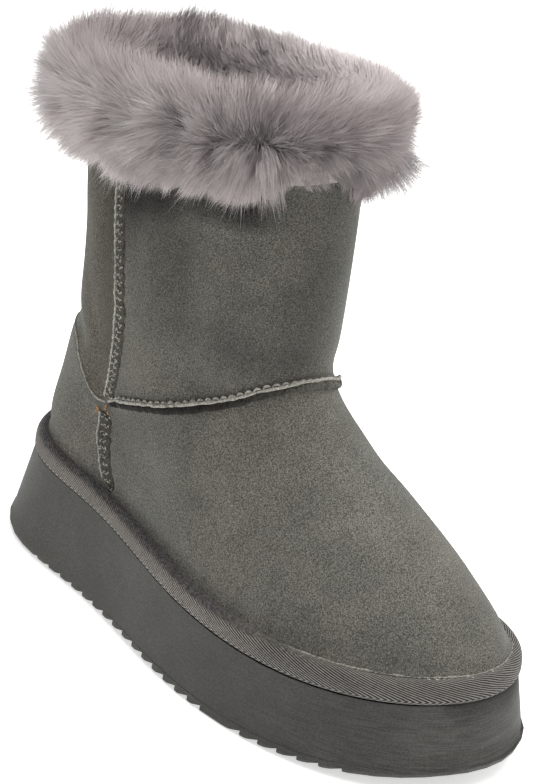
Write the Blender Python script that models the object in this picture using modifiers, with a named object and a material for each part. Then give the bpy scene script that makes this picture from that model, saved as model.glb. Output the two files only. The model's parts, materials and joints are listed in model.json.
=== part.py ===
"""Ankle boot: platform sole, tape-wrapped bead, hollow suede upper, insole and fur cuff.

Metres, +Z up. The toe points along -Y and the wearer's outer side is -X, so this is a right boot.
The origin is on the ground, under the middle of the boot's box.

Every curved piece is a loft of rings. A ring goes once round the boot: angle 0 is the back of the
heel, 90 the outer side, 180 the tip of the toe and 270 the inner side.
"""

import math
from collections import namedtuple

import bpy
import numpy as np

# Sole, measured along its top edge.
SOLE_LENGTH = 0.264
HEEL_BACK_Y = SOLE_LENGTH / 2
BASE_HALF_WIDTH = 0.0515

# Points round every ring.
SAMPLES = 60

OutlineRow = namedtuple("OutlineRow", "angle half_width centre")
OUTLINE = (
    OutlineRow(0, 0.0670, 0.0000),
    OutlineRow(30, 0.0590, 0.0000),
    OutlineRow(60, 0.0456, 0.0000),
    OutlineRow(90, 0.0479, -0.0081),
    OutlineRow(120, 0.0588, -0.0030),
    OutlineRow(150, 0.0676, 0.0068),
    OutlineRow(180, 0.0691, 0.0107),
)

# Height of the sole's top edge. share is the way from heel to toe, from 0 to 1.
HeightRow = namedtuple("HeightRow", "share height")
SOLE_TOP = (
    HeightRow(0.00, 0.0445),
    HeightRow(0.15, 0.0445),
    HeightRow(0.42, 0.0422),
    HeightRow(0.72, 0.0383),
    HeightRow(1.00, 0.0417),
)

# How far the side wall runs out from the top edge to the ground.
FLARE_SIDE = 0.0025
FLARE_HEEL = 0.0090
FLARE_TOE = 0.0086
WALL_STEPS = (0.0, 0.3, 0.6, 0.85)
EDGE_RADIUS_SIDE = 0.0012
EDGE_RADIUS_END = 0.0050
EDGE_ARC = (0, 30, 60, 90)

TOE_SPRING = 0.0075
TOE_SPRING_FROM = 0.68
TOE_SPRING_POWER = 1.8
ARCH_RISE = 0.0015
ARCH_FROM = 0.22
ARCH_TO = 0.58

# Ripple tread: rows of slanted cuts, measured from the heel's back, with a flat land between the rows.
TreadRow = namedtuple("TreadRow", "start pitch cuts")
TREAD = (
    TreadRow(0.0270, 0.00835, 16),
    TreadRow(0.1742, 0.00937, 6),
)
TREAD_DEPTH = 0.0032
TREAD_LAND = 0.0008
CUTTER_HALF_WIDTH = 0.090
CUTTER_BELOW = 0.010

# Gap that touching pieces keep.
GAP = 0.0003

# Bead of tape on the sole's top edge. Its section runs from the upper (0) to the outside (1), flat
# below and round above its middle height, which is a share of the whole.
BEAD_HEIGHT = 0.0110
BEAD_PROUD = 0.0010
BEAD_MIDDLE = 0.47
BEAD_FLAT = ((0.0, 0.55), (0.0, 0.0), (0.75, 0.0))
BEAD_ARC = (-30, 0, 30, 60, 90, 120, 150)

# Upper: one row for each section. A section is a plane ring that rises from its back to its front.
# back and front are measured from the heel's back. foot is how closely the ring follows the sole's
# outline, and square is the power of its rounded form, 2 for an ellipse.
Section = namedtuple("Section", "name back front back_z front_z half_width foot square")
UPPER = (
    Section("bottom", 0.0080, 0.2566, 0.0448, 0.0420, 0.0421, 1.0, 2.0),
    Section("bead_top", 0.0080, 0.2566, 0.0515, 0.0487, 0.0421, 1.0, 2.0),
    Section("wall", 0.0046, 0.2560, 0.0602, 0.0573, 0.0438, 1.0, 2.0),
    Section("toe_box", 0.0050, 0.2390, 0.0735, 0.0716, 0.0415, 0.88, 2.0),
    Section("vamp_low", 0.0067, 0.2213, 0.0862, 0.0851, 0.0388, 0.7, 2.0),
    Section("vamp_high", 0.0102, 0.1676, 0.1050, 0.1136, 0.0367, 0.3, 2.1),
    Section("instep", 0.0138, 0.1472, 0.1240, 0.1356, 0.0383, 0.0, 2.2),
    Section("shaft", 0.0140, 0.1445, 0.1662, 0.1690, 0.0425, 0.0, 2.2),
    Section("cuff_foot", 0.0085, 0.1425, 0.2000, 0.2250, 0.0420, 0.0, 2.2),
    Section("collar", 0.0060, 0.1405, 0.2270, 0.2560, 0.0405, 0.0, 2.2),
)
UPPER_STEPS = (1, 2, 2, 2, 3, 3, 3, 2, 2)
UPPER_WALL = 0.0050
SHAFT_LEVEL = 7
COLLAR_LEVEL = 9

# The collar's outer side is higher than its inner side, by this slope across the boot.
COLLAR_SIDE_RISE = 0.05

INSOLE_THICKNESS = 0.0040
INSOLE_GAP = 0.0006
INSOLE_EDGE = 0.0010

# Fur cuff: its cross-section, once round. level is a section of the upper (9 is the collar edge),
# out is measured from the suede's face and lift above that section.
CuffRow = namedtuple("CuffRow", "level out lift")
CUFF_GAP = 0.0007
CUFF = (
    CuffRow(8.00, CUFF_GAP, 0.0),
    CuffRow(7.97, 0.0040, 0.0),
    CuffRow(8.20, 0.0100, 0.0),
    CuffRow(8.60, 0.0145, 0.0),
    CuffRow(9.00, 0.0165, 0.0),
    CuffRow(9.00, 0.0155, 0.0090),
    CuffRow(9.00, 0.0110, 0.0155),
    CuffRow(9.00, 0.0040, 0.0185),
    CuffRow(9.00, -0.0030, 0.0180),
    CuffRow(9.00, -0.0080, 0.0140),
    CuffRow(9.00, -0.0105, 0.0070),
    CuffRow(8.98, -0.0110, 0.0000),
    CuffRow(8.78, -0.0098, 0.0000),
    CuffRow(8.78, -UPPER_WALL - CUFF_GAP, 0.0),
    CuffRow(9.00, -UPPER_WALL - CUFF_GAP, CUFF_GAP),
    CuffRow(9.00, CUFF_GAP, CUFF_GAP),
    CuffRow(8.50, CUFF_GAP, 0.0),
)

SMOOTH_ANGLE = math.radians(38)

Finish = namedtuple("Finish", "name colour metallic roughness")
SOLE_FINISH = Finish("sole_rubber", (0.072, 0.070, 0.065), 0.0, 0.60)
TAPE_FINISH = Finish("ribbed_tape", (0.105, 0.100, 0.090), 0.0, 0.90)
SUEDE_FINISH = Finish("grey_suede", (0.130, 0.132, 0.120), 0.0, 0.95)
PILE_FINISH = Finish("pile_lining", (0.210, 0.195, 0.195), 0.0, 1.00)
FUR_FINISH = Finish("fur_trim", (0.300, 0.270, 0.265), 0.0, 1.00)


def cubic(knots, values, at, clamped=False):
    """A cubic spline through the values, with its ends free (natural) or level (clamped)."""
    knots = np.asarray(knots, float)
    values = np.asarray(values, float)
    count = len(knots)
    step = np.diff(knots)
    slope = np.diff(values) / step
    matrix = np.zeros((count, count))
    right = np.zeros(count)
    for i in range(1, count - 1):
        matrix[i, i - 1 : i + 2] = (step[i - 1], 2 * (step[i - 1] + step[i]), step[i])
        right[i] = 6 * (slope[i] - slope[i - 1])
    if clamped:
        matrix[0, :2] = (2 * step[0], step[0])
        matrix[-1, -2:] = (step[-1], 2 * step[-1])
        right[0] = 6 * slope[0]
        right[-1] = -6 * slope[-1]
    else:
        matrix[0, 0] = 1
        matrix[-1, -1] = 1
    bend = np.linalg.solve(matrix, right)
    at = np.asarray(at, float)
    i = np.clip(np.searchsorted(knots, at) - 1, 0, count - 2)
    a = (knots[i + 1] - at) / step[i]
    b = (at - knots[i]) / step[i]
    curve = ((a**3 - a) * bend[i] + (b**3 - b) * bend[i + 1]) * step[i] ** 2 / 6
    return a * values[i] + b * values[i + 1] + curve


def ring_angles():
    return np.linspace(0, 2 * np.pi, SAMPLES, endpoint=False)


def folded(angle):
    """The angle from the heel's back on either side, and -1 on the outer side or 1 on the inner."""
    return np.where(angle > np.pi, 2 * np.pi - angle, angle), np.where(angle > np.pi, 1.0, -1.0)


def outline_rows(angle):
    """The outline's half width and centre line at each angle."""
    turn = np.radians([row.angle for row in OUTLINE])
    half_width = cubic(turn, [row.half_width for row in OUTLINE], angle, clamped=True)
    centre = cubic(turn, [row.centre for row in OUTLINE], angle, clamped=True)
    return half_width, centre


def sole_top_height(share):
    return cubic([row.share for row in SOLE_TOP], [row.height for row in SOLE_TOP], share)


def sole_sag(share):
    """How far the sole's top edge lies above the straight line from its heel to its toe."""
    ends = sole_top_height(np.array([0.0, 1.0]))
    return sole_top_height(share) - (ends[0] + (ends[1] - ends[0]) * share)


def outward(ring):
    """Unit normals of a closed ring, in plan, that point away from its middle."""
    along = np.roll(ring, -1, axis=0)[:, :2] - np.roll(ring, 1, axis=0)[:, :2]
    normal = np.stack([along[:, 1], -along[:, 0]], axis=1)
    normal /= np.linalg.norm(normal, axis=1)[:, None]
    middle = ring[:, :2].mean(axis=0)
    if ((ring[:, :2] - middle) * normal).sum() < 0:
        normal = -normal
    return normal


def grown(ring, distance, lift=0.0):
    """The ring moved outward in plan by a distance, which may differ from point to point."""
    moved = ring.copy()
    moved[:, :2] += outward(ring) * np.reshape(distance, (-1, 1))
    moved[:, 2] += lift
    return moved


def sole_edge():
    """The sole's top edge."""
    angle, side = folded(ring_angles())
    half_width, centre = outline_rows(angle)
    share = (1 - np.cos(angle)) / 2
    x = centre + side * half_width * np.sin(angle)
    y = HEEL_BACK_Y - SOLE_LENGTH * share
    return np.stack([x, y, sole_top_height(share)], axis=1)


def upper_values(level):
    """The upper's section numbers at any level, from 0 at its bottom to 9 at the collar."""
    levels = np.arange(len(UPPER))
    columns = ("back", "front", "back_z", "front_z", "half_width", "foot", "square")
    found = {c: float(cubic(levels, [getattr(row, c) for row in UPPER], level)) for c in columns}
    found["foot"] = min(max(found["foot"], 0.0), 1.0)
    return found


def upper_ring(level, out=0.0, lift=0.0):
    """The suede's outer face at a level, moved out and up."""
    row = upper_values(level)
    angle, side = folded(ring_angles())
    half_width, centre = outline_rows(angle)
    share = (1 - np.cos(angle)) / 2
    foot = row["foot"]
    width = row["half_width"] * (1 - foot + foot * half_width / BASE_HALF_WIDTH)
    power = row["square"]
    form = np.clip(1 - np.abs(np.cos(angle)) ** power, 0, None) ** (1 / power)
    x = foot * centre + side * width * form
    y = HEEL_BACK_Y - row["back"] - (row["front"] - row["back"]) * share
    z = row["back_z"] + (row["front_z"] - row["back_z"]) * share + foot * sole_sag(share)
    on_shaft = np.clip((level - SHAFT_LEVEL) / (COLLAR_LEVEL - SHAFT_LEVEL), 0, 1)
    z -= COLLAR_SIDE_RISE * on_shaft * x
    return grown(np.stack([x, y, z], axis=1), out, lift)


def ground_height(y):
    """The underside's height: flat at the heel and the ball, with a shallow arch and a toe spring."""
    share = (HEEL_BACK_Y - y) / SOLE_LENGTH
    spring = np.clip((share - TOE_SPRING_FROM) / (1 - TOE_SPRING_FROM), 0, 1)
    arch = np.clip((share - ARCH_FROM) / (ARCH_TO - ARCH_FROM), 0, 1)
    return TOE_SPRING * spring**TOE_SPRING_POWER + ARCH_RISE * np.sin(np.pi * arch) ** 2


def mesh_object(name, points, faces, collection):
    mesh = bpy.data.meshes.new(name)
    mesh.from_pydata([tuple(p) for p in points], [], faces)
    mesh.validate()
    obj = bpy.data.objects.new(name, mesh)
    collection.objects.link(obj)
    return obj


def loft(name, rings, collection, closed=False, caps=False):
    """Quads between the rings. closed joins the last ring to the first, and caps fill the two ends
    with strips across the boot."""
    points = np.concatenate(rings)
    faces = []
    for r in range(len(rings) if closed else len(rings) - 1):
        a = r * SAMPLES
        b = ((r + 1) % len(rings)) * SAMPLES
        for i in range(SAMPLES):
            j = (i + 1) % SAMPLES
            faces.append((a + i, a + j, b + j, b + i))
    if caps:
        faces += [tuple(reversed(face)) for face in across(0)]
        faces += across((len(rings) - 1) * SAMPLES)
    return mesh_object(name, points, faces, collection)


def across(first):
    """Faces that fill one ring, whose first point is given, from its outer side to its inner side."""
    half = SAMPLES // 2
    last = first + SAMPLES
    faces = [(first, first + 1, last - 1)]
    for i in range(1, half - 1):
        faces.append((first + i, first + i + 1, last - i - 1, last - i))
    faces.append((first + half - 1, first + half, first + half + 1))
    return faces


def finished(obj, finish):
    """The material, normals that point out, and smooth shading but for the hard edges."""
    material = bpy.data.materials.new(finish.name)
    material.use_nodes = True
    shader = material.node_tree.nodes["Principled BSDF"]
    shader.inputs["Base Color"].default_value = (*finish.colour, 1.0)
    shader.inputs["Metallic"].default_value = finish.metallic
    shader.inputs["Roughness"].default_value = finish.roughness
    obj.data.materials.append(material)
    obj.data.shade_smooth()
    obj.data.set_sharp_from_angle(angle=SMOOTH_ANGLE)
    return obj


def by_end(angle, side_value, heel_value, toe_value):
    """A value that is side_value along the sides and changes to the others at the two ends."""
    toward = np.cos(angle)
    at_heel = (heel_value - side_value) * np.clip(toward, 0, 1) ** 2
    at_toe = (toe_value - side_value) * np.clip(-toward, 0, 1) ** 2
    return side_value + at_heel + at_toe


def platform_sole(parts, cutters):
    """The side wall from the top edge down, its rounded foot, and the ripple tread cut from below."""
    angle = ring_angles()
    top = sole_edge()
    ground = grown(top, by_end(angle, FLARE_SIDE, FLARE_HEEL, FLARE_TOE))
    ground[:, 2] = ground_height(ground[:, 1])
    radius = by_end(angle, EDGE_RADIUS_SIDE, EDGE_RADIUS_END, EDGE_RADIUS_END)
    rings = [top * (1 - t) + ground * t for t in WALL_STEPS]
    for turn in np.radians(EDGE_ARC):
        inward = radius * (1 - math.cos(turn))
        rings.append(grown(ground, -inward, radius * (1 - math.sin(turn))))
    sole = loft("platform_sole", rings, parts, caps=True)
    tread = tread_cutter(cutters)
    cut = sole.modifiers.new("tread", "BOOLEAN")
    cut.operation = "DIFFERENCE"
    cut.solver = "EXACT"
    cut.object = tread
    return finished(sole, SOLE_FINISH)


def tread_cutter(cutters):
    """Wedges across the sole. Each cuts deeper toward the toe and ends there in a steep face."""
    points = []
    faces = []
    for row in TREAD:
        for k in range(row.cuts):
            heelward = HEEL_BACK_Y - row.start - k * row.pitch - TREAD_LAND
            toeward = HEEL_BACK_Y - row.start - (k + 1) * row.pitch
            section = (
                (heelward, ground_height(heelward)),
                (toeward, ground_height(toeward) + TREAD_DEPTH),
                (toeward, -CUTTER_BELOW),
                (heelward, -CUTTER_BELOW),
            )
            first = len(points)
            for x in (-CUTTER_HALF_WIDTH, CUTTER_HALF_WIDTH):
                points += [(x, float(y), float(z)) for y, z in section]
            faces.append(tuple(first + i for i in (3, 2, 1, 0)))
            faces.append(tuple(first + i for i in (4, 5, 6, 7)))
            for i in range(4):
                j = (i + 1) % 4
                faces.append((first + i, first + j, first + 4 + j, first + 4 + i))
    cutter = mesh_object("tread_cutter", points, faces, cutters)
    cutter.hide_render = True
    cutter.display_type = "WIRE"
    return cutter


def bead_section():
    """The bead's cross-section as (across, height), both from 0 to 1."""
    section = list(BEAD_FLAT)
    for turn in np.radians(BEAD_ARC):
        height = BEAD_MIDDLE + (1 - BEAD_MIDDLE) * math.sin(turn)
        section.append((0.5 + 0.5 * math.cos(turn), height))
    return section


def welt_tape(parts):
    """The bead between the upper's foot and the sole's edge."""
    inner = upper_ring(0, out=GAP)
    edge = sole_edge()
    outer = grown(edge, BEAD_PROUD)
    rings = []
    for across_bead, height in bead_section():
        ring = inner * (1 - across_bead) + outer * across_bead
        ring[:, 2] = edge[:, 2] + GAP + height * (BEAD_HEIGHT - GAP)
        rings.append(ring)
    return finished(loft("welt_tape", rings, parts, closed=True), TAPE_FINISH)


def upper(parts):
    """The suede's outer face, given its wall on the inside."""
    levels = [0.0]
    for start, steps in enumerate(UPPER_STEPS):
        levels += [start + (k + 1) / steps for k in range(steps)]
    rings = [upper_ring(level) for level in levels]
    shell = loft("upper", rings, parts)
    wall = shell.modifiers.new("wall", "SOLIDIFY")
    wall.thickness = UPPER_WALL
    wall.offset = -1.0
    wall.use_even_offset = True
    wall.use_quality_normals = True
    return finished(shell, SUEDE_FINISH)


def insole(parts):
    """The pile-covered board inside the upper's foot."""
    face = upper_ring(0, out=-UPPER_WALL - INSOLE_GAP)
    rings = [
        grown(face, -INSOLE_EDGE, INSOLE_THICKNESS),
        grown(face, 0.0, INSOLE_THICKNESS - INSOLE_EDGE),
        grown(face, 0.0, 0.0),
    ]
    return finished(loft("insole", rings, parts, caps=True), PILE_FINISH)


def fur_cuff(parts):
    """The fur trim round the collar, closed on itself both ways."""
    rings = [upper_ring(row.level, row.out, row.lift) for row in CUFF]
    return finished(loft("fur_cuff", rings, parts, closed=True), FUR_FINISH)


def facing_out(obj):
    """Turns the faces round if they point into the solid."""
    mesh = obj.data
    volume = 0.0
    for face in mesh.polygons:
        corners = [mesh.vertices[i].co for i in face.vertices]
        for a, b in zip(corners[1:], corners[2:]):
            volume += corners[0].cross(a).dot(b)
    if volume < 0:
        mesh.flip_normals()


def centre_on_ground(root, objects):
    """Moves the whole boot so that the origin is under the middle of its box."""
    bpy.context.view_layer.update()
    graph = bpy.context.evaluated_depsgraph_get()
    corners = [tuple(c) for obj in objects for c in obj.evaluated_get(graph).bound_box]
    low = np.min(corners, axis=0)
    high = np.max(corners, axis=0)
    root.location = (-(low[0] + high[0]) / 2, -(low[1] + high[1]) / 2, -low[2])


def main():
    for obj in list(bpy.data.objects):
        bpy.data.objects.remove(obj)
    parts = bpy.data.collections.new("ankle_boot")
    cutters = bpy.data.collections.new("cutters")
    bpy.context.scene.collection.children.link(parts)
    bpy.context.scene.collection.children.link(cutters)
    root = bpy.data.objects.new("ankle_boot_root", None)
    parts.objects.link(root)
    objects = [platform_sole(parts, cutters), welt_tape(parts), upper(parts)]
    objects += [insole(parts), fur_cuff(parts)]
    for obj in objects + list(cutters.objects):
        facing_out(obj)
        obj.parent = root
    centre_on_ground(root, objects)


if __name__ == "__main__":
    main()
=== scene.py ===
"""Looks of the ankle boot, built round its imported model: suede upper with sewn seams, pile lining,
ribbed tape bead, foam platform and a deep fur cuff, on a studio floor.

Metres, +Z up, the toe along -Y and the wearer's outer side along -X. Places on the boot are charted by
their heading and height: heading 0 is the back of the heel, 90 the outer side, 180 the front and -90
the inner side, turned about an upright line through the ankle.
"""

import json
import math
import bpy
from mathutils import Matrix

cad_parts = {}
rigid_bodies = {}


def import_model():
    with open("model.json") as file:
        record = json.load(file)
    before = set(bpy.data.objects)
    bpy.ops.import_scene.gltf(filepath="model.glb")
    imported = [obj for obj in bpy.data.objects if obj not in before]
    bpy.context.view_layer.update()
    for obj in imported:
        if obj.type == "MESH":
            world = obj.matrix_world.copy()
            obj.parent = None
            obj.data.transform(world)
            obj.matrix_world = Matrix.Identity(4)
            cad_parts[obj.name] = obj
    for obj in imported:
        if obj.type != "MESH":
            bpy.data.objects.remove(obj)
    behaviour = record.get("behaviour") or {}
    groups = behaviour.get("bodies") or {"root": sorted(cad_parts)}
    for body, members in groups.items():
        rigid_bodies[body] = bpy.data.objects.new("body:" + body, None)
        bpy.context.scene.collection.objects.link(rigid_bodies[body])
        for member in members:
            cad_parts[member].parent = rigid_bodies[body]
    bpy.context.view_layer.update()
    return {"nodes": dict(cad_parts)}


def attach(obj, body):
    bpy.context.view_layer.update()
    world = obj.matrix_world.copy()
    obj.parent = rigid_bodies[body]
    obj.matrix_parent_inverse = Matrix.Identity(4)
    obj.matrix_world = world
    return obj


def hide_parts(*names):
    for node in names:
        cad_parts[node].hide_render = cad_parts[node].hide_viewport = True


bl_info = {
    "name": "Ankle boot looks",
    "version": (1, 0, 0),
    "blender": (4, 5, 0),
    "location": "3D View > Sidebar > Boot",
    "description": "Builds the suede, seams, tape, sole and fur of an ankle boot round its packed model",
    "category": "Object",
}

from collections import namedtuple

import bmesh
import bpy
import numpy as np
from bpy.props import FloatProperty, FloatVectorProperty, PointerProperty, StringProperty
from mathutils import Matrix, Vector
from mathutils.bvhtree import BVHTree
from mathutils.kdtree import KDTree

for startup_object in list(bpy.data.objects):
    bpy.data.objects.remove(startup_object)
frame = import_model()

MM = 0.001
UP = np.array([0.0, 0.0, 1.0])

# Where the upright line through the ankle stands, behind the middle.
ANKLE_Y = 0.060

# A height at which the suede is just above the tape all round.
ABOVE_TAPE = 0.052

# Points of a CAD mesh nearer than this are one point.
SEW = 1e-6

# Faces of a CAD mesh that meet at a sharper angle belong to different walls.
WALL_EDGE = math.radians(50)

# An edge of the upper above this height is the collar's.
COLLAR_OVER = 0.150

# What the pieces share: the suede's face, the collar's edge and the height of the sole's top.
SHARED = {}

# Seams, charted as (heading, height) down the outer side, which the inner side mirrors. The instep's
# seam is charted right round the front, for it dips sooner on the inner side.
SIDE_SEAM = (
    (61.0, 0.220),
    (65.0, 0.202),
    (68.0, 0.188),
    (71.0, 0.174),
    (73.0, 0.165),
    (74.5, 0.151),
    (75.0, 0.143),
    (73.0, 0.128),
    (68.5, 0.115),
    (63.0, 0.103),
    (59.0, 0.096),
)
FOOT_SEAM = (
    (55.5, 0.087),
    (58.0, 0.077),
    (62.0, 0.069),
    (67.0, 0.062),
    (72.5, 0.056),
    (78.5, 0.050),
    (83.0, 0.048),
)
INSTEP_SEAM = (
    (66.5, 0.0955),
    (80.0, 0.1005),
    (93.0, 0.1040),
    (107.0, 0.1085),
    (124.0, 0.1140),
    (137.0, 0.1200),
    (147.0, 0.1260),
    (155.0, 0.1320),
    (162.0, 0.1375),
    (170.0, 0.1410),
    (175.0, 0.1420),
    (180.0, 0.1410),
    (185.0, 0.1395),
    (190.0, 0.1365),
    (195.0, 0.1330),
    (200.0, 0.1300),
    (207.0, 0.1245),
    (220.0, 0.1170),
    (236.0, 0.1120),
    (267.0, 0.1035),
    (293.5, 0.0950),
)
COUNTER_SEAM = (
    (59.0, 0.0930),
    (50.0, 0.0915),
    (41.0, 0.0930),
    (35.0, 0.0975),
    (31.0, 0.1025),
    (27.0, 0.1075),
    (25.0, 0.1100),
    (21.0, 0.1115),
    (15.0, 0.1120),
    (0.0, 0.1120),
)

# Spacing of the points along a seam.
SEAM_STEP = 0.8 * MM

# How far out of the suede a rolled edge's middle lies, beside a side seam and round the counter.
EDGE_RISE = 0.35 * MM
COUNTER_EDGE_RISE = 0.30 * MM

# Round sections: how far to the side and out their middles lie, and their radii that way. The lip's
# body and crest run over the instep, a hood and a rib sit at each of its stitches.
LIP_BODY = (1.55 * MM, 0.75 * MM, 2.15 * MM, 1.75 * MM)
LIP_CREST = (-0.50 * MM, 2.10 * MM, 0.72 * MM, 0.66 * MM)
LIP_HOOD = (0, 0, 0.62 * MM, 0.55 * MM)
LIP_RIB = (0, 0, 0.40 * MM, 0.36 * MM)
BARE_BIT = (0, 1.1 * MM, 0.62 * MM, 0.50 * MM)
TOE_FIBRES = (0, 0, 0.42 * MM, 0.42 * MM)
MOULD_LINE = (0, 0, 0.30 * MM, 0.22 * MM)

# Cross-section of the stitched band beside a side seam: mm toward the toe, and mm out of the suede.
BAND = ((0.4, -0.4), (0.6, 0.25), (1.6, 0.50), (3.6, 0.60), (5.6, 0.50), (6.4, 0.25), (6.6, -0.4))

# Specks of thread at a stitch of the band: mm toward the toe, and mm along the seam.
KNOT_SPECKS = ((1.5, 0.4), (2.1, -0.2), (2.8, -0.8), (3.7, 0.9), (4.3, 0.3), (4.8, -0.3), (3.2, 0.2))

# The side and foot seams, with how wide each one's band is as a share of BAND.
SewnSeam = namedtuple("SewnSeam", "rows wide mirrored")
SEWN_SEAMS = (
    SewnSeam(SIDE_SEAM, 1.0, False),
    SewnSeam(FOOT_SEAM, 1.3, False),
    SewnSeam(SIDE_SEAM, 1.0, True),
    SewnSeam(FOOT_SEAM, 1.3, True),
)

# Bits of bare leather where the seams meet: each one's middle, and how far it leans, in degrees.
BARE_BITS = ((54.8, 0.0882, 0.5), (61.6, 0.0912, -0.4), (62.8, 0.0888, 0.3))

# Cross-section of the suede's edge, drawn out over the tape: mm down, and mm out of the suede.
TUCK = (
    (-7.0, -0.30),
    (-6.2, -0.03),
    (-5.0, 0.06),
    (-4.0, 0.20),
    (-3.1, 0.46),
    (-2.2, 0.95),
    (-1.2, 1.75),
    (-0.5, 2.55),
    (0.1, 3.30),
    (0.8, 3.50),
    (1.6, 2.60),
    (1.8, -0.40),
)

# Where that edge is drawn out less: heading, half width in degrees, and how much less.
TUCK_DIPS = ((181, 16, 0.35), (84, 8, 0.78), (276, 8, 0.78))

# Soft folds of the suede. depth is how far the trough goes in, or a ridge out where it is negative,
# and width is the half width of its slope.
Fold = namedtuple("Fold", "depth width route")
FOLDS = (
    Fold(0.0012, 0.009, ((120, 0.205), (124, 0.185), (128, 0.165), (130, 0.145), (127, 0.128))),
    Fold(-0.0009, 0.010, ((103, 0.205), (106, 0.180), (108, 0.150), (104, 0.125))),
    Fold(-0.0010, 0.014, ((142, 0.215), (146, 0.190), (150, 0.165), (150, 0.148))),
    Fold(0.0010, 0.011, ((164, 0.215), (165, 0.190), (166, 0.160))),
    Fold(
        0.0014,
        0.007,
        ((140, 0.1290), (155, 0.1395), (168, 0.1480), (178, 0.1495), (190, 0.1440), (200, 0.1370)),
    ),
    Fold(0.0012, 0.006, ((72, 0.0890), (90, 0.0950), (108, 0.1010), (124, 0.1065))),
    Fold(0.0014, 0.007, ((30, 0.1160), (18, 0.1215), (0, 0.1225), (-18, 0.1215), (-30, 0.1160))),
    Fold(0.0008, 0.009, ((48, 0.1300), (38, 0.1480), (34, 0.1700))),
    Fold(0.0010, 0.012, ((150, 0.0850), (160, 0.0950), (170, 0.1050))),
    Fold(-0.0008, 0.012, ((138, 0.0800), (148, 0.0900), (158, 0.1030))),
    Fold(0.0008, 0.010, ((-100, 0.200), (-108, 0.170), (-112, 0.140))),
    Fold(-0.0008, 0.012, ((-130, 0.205), (-134, 0.175), (-138, 0.150))),
    Fold(0.0009, 0.011, ((-146, 0.0850), (-156, 0.0950), (-166, 0.1060))),
)

# Painted light and shade on the suede: the shadow that the fur's fringe casts on the top of the shaft,
# and lighter or darker patches where more or less light falls. A mark's middle, its half width in
# degrees and half height in metres, and how much more light it gives back.
PaintedLightMark = namedtuple("PaintedLightMark", "heading height wide tall tone")
PAINTED_LIGHT_MARKS = (
    PaintedLightMark(78, 0.2020, 20, 0.0190, -0.58),
    PaintedLightMark(78, 0.2030, 20, 0.0080, -0.34),
    PaintedLightMark(104, 0.2095, 14, 0.0095, -0.56),
    PaintedLightMark(127, 0.2140, 15, 0.0058, -0.64),
    PaintedLightMark(145, 0.2185, 10, 0.0050, -0.85),
    PaintedLightMark(138, 0.2080, 16, 0.0055, 0.26),
    PaintedLightMark(156, 0.2240, 9, 0.0060, -0.25),
    PaintedLightMark(178, 0.1850, 14, 0.0400, -0.36),
    PaintedLightMark(128, 0.1540, 20, 0.0120, -0.12),
    PaintedLightMark(120, 0.1800, 60, 0.0450, -0.16),
    PaintedLightMark(150, 0.1560, 22, 0.0120, -0.12),
    PaintedLightMark(170, 0.1520, 16, 0.0080, -0.25),
    PaintedLightMark(124, 0.1750, 5, 0.0250, -0.14),
    PaintedLightMark(137, 0.1950, 7, 0.0150, 0.10),
    PaintedLightMark(178, 0.1120, 12, 0.0220, 0.20),
    PaintedLightMark(177, 0.0850, 8, 0.0160, 0.10),
    PaintedLightMark(150, 0.1000, 20, 0.0200, 0.09),
    PaintedLightMark(168, 0.0580, 12, 0.0080, -0.08),
    PaintedLightMark(95, 0.0700, 10, 0.0120, -0.10),
    PaintedLightMark(122, 0.0500, 18, 0.0050, -0.08),
    PaintedLightMark(36, 0.0750, 20, 0.0200, 0.06),
)

# The fur's coat, by the turn round the cuff's cross-section: -90 is its hem, 0 faces out, 90 is the
# top and 180 faces in. out and up point its hairs, and tone is how much paler they are; tone is partly
# painted shade, darkest at the top of the cuff where most light falls.
CoatRow = namedtuple("CoatRow", "turn length out up tone")
COAT = (
    CoatRow(-130, 0.005, 0.25, -0.97, 0.08),
    CoatRow(-90, 0.007, 0.28, -0.96, -0.05),
    CoatRow(-60, 0.012, 0.42, -0.91, -0.12),
    CoatRow(-30, 0.016, 0.62, -0.78, -0.10),
    CoatRow(-5, 0.016, 0.80, -0.60, 0.12),
    CoatRow(8, 0.013, 0.92, 0.05, 0.12),
    CoatRow(20, 0.015, 0.80, 0.60, 0.06),
    CoatRow(45, 0.016, 0.52, 0.85, -0.10),
    CoatRow(75, 0.014, 0.18, 0.98, -0.30),
    CoatRow(100, 0.013, -0.12, 0.99, -0.28),
    CoatRow(130, 0.012, -0.50, 0.86, -0.12),
    CoatRow(160, 0.011, -0.80, 0.60, 0.0),
    CoatRow(195, 0.010, -0.95, 0.05, 0.0),
    CoatRow(230, 0.008, -0.85, -0.50, 0.0),
)

# The hair's length round the cuff, as a share: heading and share.
COAT_AROUND = (
    (-180, 0.86),
    (-150, 0.58),
    (-90, 0.55),
    (-45, 0.82),
    (-20, 1.0),
    (0, 1.1),
    (20, 1.08),
    (50, 0.92),
    (100, 1.0),
    (170, 1.0),
)

# How wildly locks and tufts lean, and how far a tuft closes up, by the turn round the cuff's section.
WILD = ((-60, 1.5), (20, 1.0), (60, 0.45), (120, 0.35))
CLOSING = ((-60, 1.15), (20, 0.9), (60, 0.35), (120, 0.25))

# Locks that hang below the hem: heading, half width, the turn they start below, how much longer they
# are and how far they hang.
Lock = namedtuple("Lock", "heading half_width below longer hang")
LOCKS = (Lock(190, 25, 20, 1.25, 1.60), Lock(46, 26, -15, 0.34, 0.25), Lock(82, 42, -20, 0.45, 0.45))

# Painted light and shade on the coat, paler where more light falls and darker where it lies in shade:
# heading, half width, the turns between, and tone.
PaintedFurLight = namedtuple("PaintedFurLight", "heading half_width low high tone")
FUR_LIGHT_AND_SHADE = (
    PaintedFurLight(14, 75, 60, 240, -0.42),
    PaintedFurLight(-120, 60, 40, 240, 0.55),
    PaintedFurLight(45, 60, -140, 35, 0.42),
    PaintedFurLight(195, 45, -140, 80, -0.30),
    PaintedFurLight(165, 38, -140, 75, -0.32),
)

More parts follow.
